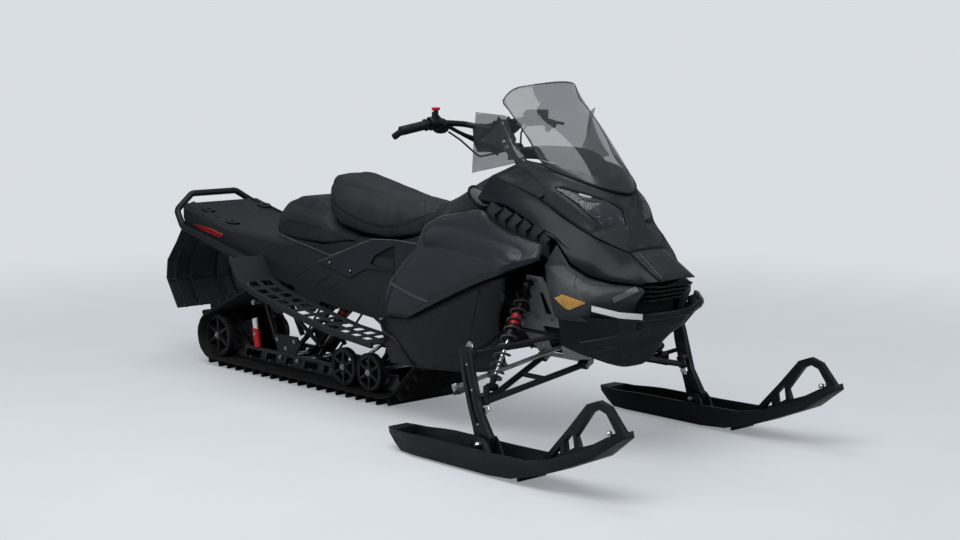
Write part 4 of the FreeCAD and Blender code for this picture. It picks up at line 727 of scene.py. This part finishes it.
# ---------------------------------------------------------------- lamps
# one lamp opening of the hood: along its top edge and along its foot, rear to front
LAMP_TOP = [(899, 178, 918), (975, 137, 894), (1041, 87, 873), (1072, 49, 842), (1092, 50, 792)]
LAMP_FOOT = [(907, 187, 907), (985, 167, 865), (1035, 145, 821), (1050, 131, 803), (1064, 111, 787)]
# lamps inside it: centre, radius
BEAMS = [((986, 148, 868), 21), ((1026, 118, 846), 23), ((1058, 88, 816), 18)]
lamps = Kit("headlamp_insides", BODY_OF["headlights"], [BLACK, MIRROR, GLASS, WHITE, MATTE])
for side in (1, -1):
    rim = [Vector(p) for p in sided(LAMP_TOP + LAMP_FOOT[::-1], side)]
    middle = sum(rim, Vector()) / len(rim)
    back = Vector((-44, -side * 14, -12))
    rings = [[p - Vector((5, side * 2, 3)) for p in rim], [p.lerp(middle, 0.12) + back * 0.6 for p in rim],
             [p.lerp(middle, 0.4) + back for p in rim]]
    lamps.skin(rings, BLACK, closed=True)
    lamps.bm.faces.new(list(lamps.bm.verts)[-len(rim):])
    aim = Vector((1, side * 0.12, -0.03)).normalized()
    for at, r in BEAMS:
        spot = Vector(sided([at], side)[0]) + back * 0.45
        lamps.rod(spot, spot + aim * 16, r * 0.55, MIRROR, 28, r)
        lamps.rod(spot + aim * 14, spot + aim * 17, r * 1.06, BLACK, 28)
        lamps.rod(spot + aim * 15, spot + aim * 18, r, MIRROR, 28)
        lamps.ball(spot + aim * 16, (r * 0.55, r * 0.72, r * 0.72), GLASS)
    brow = [p + Vector((-10, -side * 3, -7)) for p in rim[:4]]
    lamps.path(curved(brow), 1.6, MATTE)
    lamps.path(curved([p + Vector((-14, -side * 5, 7)) for p in reversed(rim[5:9])]), 3.5, MIRROR)
lamps.done(30)

# ---------------------------------------------------------------- tunnel, deck and covers
flap = Kit("snow_flap_ribs", BODY_OF["snow_flap"], [MATTE, BLACK])
for y in (-150, -84, 84, 150):
    flap.patch(trees["snow_flap"], [(-1500, y - 7, 336), (-1500, y - 7, 250)], [(-1500, y + 7, 336),
                                                                              (-1500, y + 7, 250)],
               (-1, 0, 0), 7, MATTE, 8, 1)
flap.seam(trees["snow_flap"], [(-1500, y, 344) for y in range(-186, 187, 31)], (-1, 0, 0), 4, MATTE, 0.3, 2)
flap.done(30)
deck = Kit("tunnel_fittings", BODY_OF["tunnel"], [BLACK, PANEL, STEEL, MATTE, LIP_AND_HIGHLIGHT])
COVER = [(-417, 538), (-300, 580), (-190, 620), (-71, 660), (73, 668), (210, 664), (170, 548), (72, 546),
         (-109, 544), (-209, 498)]
POCKET = [(-84, 562), (-60, 596), (1, 624), (62, 648), (60, 556), (30, 548)]
for side in (1, -1):
    deck.holed([(x, side * 205, z) for x, z in COVER], [(x, side * 205, z) for x, z in POCKET], (0, side * 4, 0), PANEL)
    deck.plate([(x, side * 200, z) for x, z in POCKET], (0, side * 2, 0), BLACK)
    deck.path([(x, side * 209, z) for x, z in POCKET + POCKET[:1]], 2.2, BLACK)
    deck.path([(x, side * 208, z) for x, z in COVER[:6]], 1.8, LIP_AND_HIGHLIGHT)
    for x, z in ((-338, 544), (-207, 523)):
        deck.rod((x, side * 208, z), (x, side * 212, z), 9, BLACK)
        deck.rod((x, side * 211, z), (x, side * 213.5, z), 6, STEEL, 20, 4.5)
    for x, z in ((-905, 500), (-806, 490), (-1330, 597), (-560, 540), (-700, 560), (-40, 420), (70, 400)):
        deck.rod((x, side * 202, z), (x, side * 206, z), 5.5, MATTE, 18, 4)
    # skirt of the rear seat over the tunnel's edge
    deck.plate([(x, side * 203, z) for x, z in ((-660, 626), (-536, 606), (-339, 572), (-243, 600), (-130, 642),
                                                (-240, 636), (-380, 612), (-560, 618))], (0, side * 4, 0), MATTE)
    # light line along the skirt's lower edge: a painted highlight
    deck.path([(x, side * 207, z) for x, z in ((-660, 626), (-536, 606), (-339, 572), (-243, 600), (-130, 642))],
              1.8, LIP_AND_HIGHLIGHT)
    # hard corners of the cargo deck
    deck.plate([(-1392, side * 150, 706), (-1392, side * 196, 692), (-1176, side * 199, 640), (-1176, side * 168, 656)],
               (0, 0, 6), MATTE)
deck.done()

# ---------------------------------------------------------------- seats
def swollen(node, mats, pick, shrink, cap, round_by, channels):
    """Cushion stretched over its foam: rounded, blown up a little as cloth, then drawn in along its seams."""
    bm = clean_copy(node)
    bmesh.ops.dissolve_limit(bm, angle_limit=math.radians(1), verts=bm.verts, edges=bm.edges)
    bm.normal_update()
    for vert in bm.verts:
        vert.co -= vert.normal * shrink
    obj = new_piece(node + "_cushion", bm, mats, BODY_OF[node])
    add_bevel(obj, round_by, 18, 4)
    remesh = obj.modifiers.new("skin", "REMESH")
    remesh.mode = "VOXEL"
    remesh.voxel_size = 0.006
    settle(obj)
    start = positions(obj.data)
    cloth = obj.modifiers.new("cover", "CLOTH")
    cloth.settings.use_pressure = True
    cloth.settings.uniform_pressure_force = 4.0
    cloth.settings.quality = 4
    cloth.settings.effector_weights.gravity = 0
    cloth.point_cache.frame_start = 1
    cloth.point_cache.frame_end = 20
    for step in range(1, 21):
        bpy.context.scene.frame_set(step)
    settle(obj)
    bpy.context.scene.frame_set(1)
    moved = positions(obj.data) - start
    far = np.linalg.norm(moved, axis=1, keepdims=True)
    place(obj.data, start + moved * np.minimum(1, cap / np.maximum(far, 1e-9)))
    soften = obj.modifiers.new("soften", "SMOOTH")
    soften.iterations = 6
    finer = obj.modifiers.new("finer", "SUBSURF")
    finer.levels = finer.render_levels = 1
    settle(obj)
    for line, width, depth in channels:
        for side in (1, -1):
            press(obj, sided(line, side), width, depth)
    mesh = obj.data
    for face in mesh.polygons:
        face.material_index = pick(face.center)
    mesh.shade_smooth()
    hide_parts(node)
    return obj


SEAT_CREASE = [(-462, 96, 842), (-405, 118, 846), (-317, 113, 845), (-207, 100, 834), (-75, 74, 817), (23, 58, 807),
               (90, 60, 800), (150, 50, 798)]
SEAT_WELT = [(-462, 60, 800), (-452, 128, 796), (-400, 148, 772), (-345, 155, 755), (-255, 160, 727), (-129, 162, 704),
             (-38, 157, 704), (26, 141, 719), (94, 119, 752), (150, 96, 780)]
SEAT_FRONT = [(68, 66, 800), (110, 108, 764), (104, 122, 711)]
BACK_SEAT_WELT = [(-772, 90, 668), (-745, 160, 668), (-642, 174, 678), (-520, 180, 676), (-440, 180, 668)]
BACK_SEAT_CREASE = [(-742, 100, 738), (-660, 140, 752), (-582, 152, 744), (-520, 154, 740), (-466, 154, 736)]
BACK_SEAT_CROSS = [(-650, 0, 780), (-646, 60, 780), (-642, 118, 774), (-640, 150, 742)]


def below(line):
    """Test of whether a point of a cushion lies under a welt."""
    spots = sorted((x * MM, z * MM) for x, _, z in line)

    def test(centre):
        x = min(max(centre.x, spots[0][0]), spots[-1][0])
        for (x0, z0), (x1, z1) in zip(spots, spots[1:]):
            if x0 <= x <= x1:
                return int(centre.z < z0 + (z1 - z0) * (x - x0) / max(x1 - x0, 1e-9))
        return 0
    return test


driver = swollen("driver_seat", [VINYL, BASE_VINYL], below(SEAT_WELT), 0.003, 0.006, 0.014,
                 ((SEAT_CREASE, 0.010, 0.003), (SEAT_WELT, 0.006, 0.004), (SEAT_FRONT, 0.006, 0.003)))
back = swollen("rear_seat", [VINYL, BASE_VINYL], below(BACK_SEAT_WELT), 0.002, 0.004, 0.009,
               ((BACK_SEAT_CREASE, 0.010, 0.003), (BACK_SEAT_WELT, 0.006, 0.004), (BACK_SEAT_CROSS, 0.008, 0.003)))
welts = Kit("seat_welts", BODY_OF["driver_seat"], [BLACK, VINYL])
for piece, lines in ((driver, ((SEAT_WELT, 2.0), (SEAT_CREASE, 0.8), (SEAT_FRONT, 0.8))),
                     (back, ((BACK_SEAT_WELT, 2.0), (BACK_SEAT_CREASE, 0.8), (BACK_SEAT_CROSS, 0.8)))):
    tree = surface(piece)
    for line, r in lines:
        for side in (1, -1):
            way = (0.25, -side, -0.35) if line is not BACK_SEAT_CROSS else (0, -side * 0.3, -1)
            welts.seam(tree, sided(line, side), way, r, BLACK if r > 1 else VINYL, 0.6)
# joint between the driver's seat and the tank
welts.plate([(136, y, z) for y, z in ((-86, 668), (-92, 735), (-66, 782), (66, 782), (92, 735), (86, 668))],
            (44, 0, 0), BLACK)
welts.done()

# ---------------------------------------------------------------- suspension of the skis
TOP_EYE, LOW_EYE = (798, 218, 580), (842, 436, 252)
shocks = Kit("ski_dampers", BODY_OF["ski_shocks"], [BLACK, CHROME, RED_PAINT, STEEL, DARK_METAL, SPRING])
for side in (1, -1):
    top, low = (Vector(sided([p], side)[0]) for p in (TOP_EYE, LOW_EYE))
    run = (low - top).normalized()
    length = (low - top).length
    for eye, r in ((top, 13), (low, 14)):
        shocks.rod(eye - Vector((0, 14, 0)), eye + Vector((0, 14, 0)), r, BLACK, 28)
        shocks.rod(eye - Vector((0, 15.5, 0)), eye + Vector((0, 15.5, 0)), r * 0.55, STEEL, 20)
    shocks.rod(top + run * 6, top + run * 30, 10, BLACK, 20, 17)
    shocks.rod(top + run * 28, top + run * length * 0.55, 17, BLACK, 28)
    for at in (0.31, 0.365):
        shocks.rod(top + run * length * at, top + run * (length * at + 14), 17.6, RED_PAINT, 28)
    for at in (0.22, 0.44, 0.52):
        shocks.rod(top + run * length * at, top + run * (length * at + 5), 18.4, DARK_METAL, 28)
    shocks.rod(top + run * length * 0.5, low - run * 10, 7, STEEL, 20)
    shocks.rod(low - run * 30, low - run * 8, 12, BLACK, 20, 9)
    for at in (top + run * 40, low - run * 40):
        shocks.rod(at, at + run * 6, 27, DARK_METAL, 32)
    shocks.path(helix(top + run * 48, low - run * 43, 25, 9), 3.8, SPRING, 10)
piece = shocks.done(32)
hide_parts("ski_shocks")

front = Kit("front_frame_bolts", BODY_OF["front_frame"], [STEEL, PLATE])
for side in (1, -1):
    for x, z, y0 in ((966, 305, 115), (765, 305, 115), (972, 425, 150), (690, 425, 150)):
        for end in (-1, 1):
            front.bolt((x + end * 21, side * (y0), z), (end, 0, 0), 6, STEEL)
    front.bolt((798, side * 232, 580), (0, side, 0), 8, STEEL)
    front.plate([(x, side * 146, z) for x, z in ((886, 402), (905, 365), (1028, 348), (1044, 338), (940, 324),
                                                 (905, 326))], (0, side * 5, 0), PLATE)
    for x, z in ((765, 345), (975, 340), (1000, 455), (700, 425), (820, 590), (845, 450), (770, 452)):
        y = 84 + (z - 308) * 0.39 + 6.5
        front.bolt((x, side * y, z), (0, side, -0.39), 5.5, STEEL)
front.done()

# ---------------------------------------------------------------- ski legs, skis and steering
KINGPIN_LOW, KINGPIN_HIGH = Vector((883, 504.5, 217)), Vector((822, 504.5, 372))
KINGPIN = (KINGPIN_HIGH - KINGPIN_LOW).normalized()
for side, word in ((1, "left"), (-1, "right")):
    leg = Kit("ski_leg_hardware_" + word, BODY_OF["ski_leg_" + word], [STEEL, BLACK, CHROME, GRIP])
    low, high = (Vector(sided([p], side)[0]) for p in (KINGPIN_LOW, KINGPIN_HIGH))
    leg.bolt(high + KINGPIN * 29, KINGPIN, 10, CHROME)
    leg.bolt(low - KINGPIN * 29, -KINGPIN, 10, CHROME)
    for x, z in ((846, 344), (872, 262), (902, 150)):
        leg.rod((x, side * 541, z), (x, side * 552, z), 5, STEEL, 16, 4)
    leg.done()
    ski = Kit("ski_hardware_" + word, BODY_OF["ski_" + word], [STEEL, BLACK, CHROME, MATTE, GRIP])
    for face in (-1, 1):
        ski.bolt((927, side * 538.5 + face * 38, 88), (0, face, 0), 8, CHROME)
        ski.bolt((1226, side * 538.5 + face * 63, 82), (0, face, 0), 7, CHROME)
        ski.bolt((1504, side * 538.5 + face * 22, 222), (0, face, 0), 7, CHROME)
    for x in (620, 700, 780, 1060, 1140):
        ski.plate([(x, side * 538.5 - 62, 10), (x + 10, side * 538.5 - 62, 10), (x + 10, side * 538.5 + 62, 10),
                   (x, side * 538.5 + 62, 10)], (0, 0, 14), MATTE)
    ski.plate([(880, side * 538.5 - 20, 10), (980, side * 538.5 - 20, 10), (980, side * 538.5 + 20, 10),
               (880, side * 538.5 + 20, 10)], (0, 0, 34), GRIP)
    ski.done(32, 0.0008)

# handlebar: clamp bolts, cross brace, stop button and switches
bar = Kit("handlebar_fittings", BODY_OF["handlebar"], [BLACK, STEEL, RED_PAINT, DARK_METAL, GRIP, MATTE, DISPLAY])
LEAN = math.radians(33)


def on_clamp(forward, side, up):
    return (448 + forward * math.cos(LEAN) - up * math.sin(LEAN), side,
            1092 + forward * math.sin(LEAN) + up * math.cos(LEAN))


for forward in (-12, 16):
    for y in (-24, 24):
        bar.rod(on_clamp(forward, y, 30), on_clamp(forward, y, 42), 7, BLACK, 20, 6)
        bar.rod(on_clamp(forward, y, 42), on_clamp(forward, y, 45), 4, STEEL, 6)
for y in (-46, 46):
    bar.rod(on_clamp(2, y * 0.8, 4), on_clamp(2, y * 1.25, 4), 16, DARK_METAL, 24)
for y in (-22, 22):
    bar.rod(on_clamp(-8, y, -24), on_clamp(-8, y, -78), 8, DARK_METAL, 20)
    bar.rod(on_clamp(-8, y, -44), on_clamp(-8, y, -52), 11, STEEL, 24)
bar.rod(on_clamp(4, -34, -80), on_clamp(4, 34, -80), 17, BLACK, 24)
for y in (-34, 34):
    bar.bolt(on_clamp(4, y, -80), (0, y, 0), 9, STEEL)
bar.rod((354, -257, 1124), (354, -257, 1161), 12, BLACK, 24)
# padded cover over the clamp, toward the rider
PAD = [(318, 1092), (330, 1108), (424, 1114), (438, 1098), (440, 1052), (428, 1010), (344, 1006), (322, 1040)]
bar.plate([(x, -42, z) for x, z in PAD], (0, 84, 0), MATTE)
bar.plate([(x + 6, -44, z - 2) for x, z in PAD[:5]] + [(360, -44, 1062)], (0, 88, 0), BLACK)
for x in (344, 408):
    for y in (-26, 26):
        bar.rod((x, y, 1106), (x, y, 1113 + (x - 344) / 20), 5, STEEL, 16)
for side in (1, -1):
    bar.path(curved(sided([(348, 200, 1112), (356, 150, 1086), (366, 100, 1066), (396, 60, 1056), (428, 30, 1050)],
                          side)), 7, GRIP, 12)
    bar.path(curved(sided([(345, 178, 1106), (352, 130, 1076), (372, 80, 1048), (408, 46, 1020), (440, 26, 1000)],
                          side)), 4.5, GRIP, 10)
bar.ball((345, -224, 1112), (27, 30, 26), BLACK)
bar.ball((338, -216, 1098), (24, 34, 18), MATTE)
bar.ball((378, 200, 1140), (30, 30, 15), BLACK)
bar.rod((378, 200, 1146), (378, 200, 1155), 22, MATTE, 28, 20)
for dx, dy in ((-12, -12), (12, 12)):
    bar.rod((378 + dx, 200 + dy, 1154), (378 + dx, 200 + dy, 1157), 3, STEEL, 12)
bar.ball((348, 232, 1114), (24, 34, 22), BLACK)
bar.done(38, 0.003)

# ---------------------------------------------------------------- track suspension
under = Kit("track_suspension_fittings", BODY_OF["slide_rails"], [BLACK, STEEL, RED_PAINT, WHITE_PAINT, CHROME, ALLOY,
                                                                DARK_METAL, GRIP])
ARM_TOPS, ARM_FEET = ((-20, 352), (-475, 358)), ((-250, 118), (-820, 118))
FOOT_Z = 40 + 0.6 + 33 + 12
for (x0, z0), x1, spring_r in (((-20, 352), -455, 30), ((-475, 358), -700, 34)):
    top, low = Vector((x0, 0, z0)), Vector((x1, 0, FOOT_Z))
    run = (low - top).normalized()
    length = (low - top).length
    under.rod(top + run * 20, top + run * length * 0.55, 21, DARK_METAL, 28)
    for at in (0.16, 0.5):
        under.rod(top + run * length * at, top + run * (length * at + 12), 22, RED_PAINT, 28)
    under.rod(top + run * length * 0.5, low, 8, CHROME, 20)
    for eye in (top, low):
        under.rod(eye - Vector((0, 15, 0)), eye + Vector((0, 15, 0)), 19, DARK_METAL, 28)
piece = under.done(32)
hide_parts("track_shocks")

rear = Kit("track_suspension_parts", BODY_OF["slide_rails"], [BLACK, STEEL, RED_PAINT, WHITE_PAINT, ALLOY, DARK_METAL,
                                                            GRIP])
for side in (1, -1):
    # torsion spring round the rear arm's cross tube, with its leg to the rail
    coil = helix((-475, side * 70, 358), (-475, side * 128, 358), 26, 5)
    rear.path([Vector(p) for p in coil] + [(-520, side * 130, 320), (-700, side * 118, 112)], 5, DARK_METAL, 10)
    # red limiter link and its white stop, on the right rail
    if side == -1:
        rear.plate([(-1018, side * 104, 226), (-990, side * 104, 234), (-984, side * 104, 184), (-1008, side * 104, 180)],
                   (0, side * 8, 0), WHITE_PAINT)
        rear.plate([(-1016, side * 103, 188), (-976, side * 103, 186), (-966, side * 103, 110), (-998, side * 103, 106)],
                   (0, side * 11, 0), RED_PAINT)
        rear.rod((-993, side * 112, 164), (-993, side * 118, 164), 8, STEEL, 20)
    # rubber stop and strut of the coupled arms
    rear.path([(-978 + 17 * math.cos(a), side * 62, 307 + 17 * math.sin(a)) for a in
               [k * math.tau / 24 for k in range(25)]], 5, ALLOY)
    rear.rod((-763, side * 62, 254), (-592, side * 62, 153), 9, DARK_METAL)
    rear.rod((-978, side * 62, 290), (-900, side * 70, 150), 12, DARK_METAL)
    rear.rod((-1075, side * 60, 150), (-1075, side * 84, 150), 62, BLACK, 36)
    rear.rod((-1075, side * 82, 150), (-1075, side * 86, 150), 44, DARK_METAL, 36)
    # bracket block between the arms
    rear.plate([(-868, side * 102, 182), (-700, side * 102, 186), (-676, side * 102, 150), (-720, side * 102, 104),
                (-836, side * 102, 108)], (0, side * 7, 0), DARK_METAL)
    for x, z in ((-840, 160), (-720, 164), (-780, 128)):
        rear.bolt((x, side * 108, z), (0, side, 0), 6, STEEL)
    for x, z, r in ((-1222, 135, 12), (-333, 118, 12), (-170, 118, 12), (-250, 85.6, 9), (-820, 85.6, 9),
                    (-455, 85.6, 9), (-700, 85.6, 9)):
        y = 153 if r == 12 else 105
        rear.rod((x, side * (y - 2), z), (x, side * (y + 2), z), r * 1.5, BLACK, 24)
        rear.bolt((x, side * (y + 2), z), (0, side, 0), r * 0.7, STEEL)
    for x in (-1040, -900, -760, -610, -400):
        rear.rod((x, side * 104, 60), (x, side * 108, 60), 5, STEEL, 16, 4)
    # rubber tyres of the outer wheels
    for x, z, r in ((-1222, 135, 94.4), (-333, 118, 77.4), (-170, 118, 77.4)):
        rear.path([(x + (r - 5) * math.cos(a), side * 153, z + (r - 5) * math.sin(a))
                   for a in [k * math.tau / 48 for k in range(49)]], 2.6, GRIP, 8)
rear.done(32)
# ---------------------------------------------------------------- stage
PALE = (0.70, 0.73, 0.77)


def make_stage():
    world = bpy.data.worlds.new("studio")
    bpy.context.scene.world = world
    world.use_nodes = True
    tree = world.node_tree
    lit = tree.nodes["Background"]
    lit.inputs["Color"].default_value = (0.90, 0.94, 1.0, 1)
    lit.inputs["Strength"].default_value = 0.26
    seen = tree.nodes.new("ShaderNodeBackground")
    seen.inputs["Color"].default_value = (*PALE, 1)
    path = tree.nodes.new("ShaderNodeLightPath")
    both = tree.nodes.new("ShaderNodeMixShader")
    tree.links.new(path.outputs["Is Camera Ray"], both.inputs[0])
    tree.links.new(lit.outputs[0], both.inputs[1])
    tree.links.new(seen.outputs[0], both.inputs[2])
    tree.links.new(both.outputs[0], tree.nodes["World Output"].inputs["Surface"])

    bm = bmesh.new()
    bmesh.ops.create_circle(bm, cap_ends=True, segments=96, radius=40)
    mesh = bpy.data.meshes.new("floor")
    bm.to_mesh(mesh)
    bm.free()
    floor = bpy.data.objects.new("floor", mesh)
    bpy.context.scene.collection.objects.link(floor)
    f = Finish("floor_paper")
    f.colour(f.ramp(f.noise(1.5, 3), tone(PALE, 1.0), tone(PALE, 1.04)))
    f.set(Roughness=0.9)
    # far from the object the floor fades to the backdrop's own colour
    away = f.node("ShaderNodeVectorMath", operation="LENGTH")
    f.link(f.coords, away.inputs[0])
    fade = f.node("ShaderNodeMapRange", interpolation_type="SMOOTHSTEP")
    fade.inputs["From Min"].default_value = 1.2
    fade.inputs["From Max"].default_value = 5.5
    fade.inputs["To Min"].default_value = 0.35
    f.link(away.outputs["Value"], fade.inputs["Value"])
    glow = f.node("ShaderNodeEmission")
    glow.inputs["Color"].default_value = (*PALE, 1)
    seen_only = f.node("ShaderNodeLightPath")
    f.link(seen_only.outputs["Is Camera Ray"], glow.inputs["Strength"])
    mixed = f.node("ShaderNodeMixShader")
    f.link(fade.outputs["Result"], mixed.inputs[0])
    f.link(f.shader.outputs[0], mixed.inputs[1])
    f.link(glow.outputs[0], mixed.inputs[2])
    f.link(mixed.outputs[0], f.tree.nodes["Material Output"].inputs["Surface"])
    mesh.materials.append(f.mat)

    for name, where, size, power_w, at in (
            ("key", (1.4, -2.4, 4.6), (4.0, 3.0), 170, (0.1, 0, 0.5)),
            ("fill", (4.5, 3.0, 2.6), (2.5, 2.5), 30, (0.5, 0, 0.6)),
            ("top", (-0.6, 0.6, 4.6), (2.5, 2.5), 45, (-0.2, 0, 0.6)),
            ("side", (-1.8, -4.5, 1.8), (3.5, 1.2), 26, (-0.3, 0, 0.5))):
        data = bpy.data.lights.new(name, "AREA")
        data.shape = "RECTANGLE"
        data.size, data.size_y = size
        data.energy = power_w
        lamp = bpy.data.objects.new(name, data)
        bpy.context.scene.collection.objects.link(lamp)
        lamp.location = where
        lamp.rotation_mode = "QUATERNION"
        lamp.rotation_quaternion = (Vector(at) - Vector(where)).to_track_quat("-Z", "Y")


make_stage()
bpy.context.scene.view_settings.view_transform = "Standard"
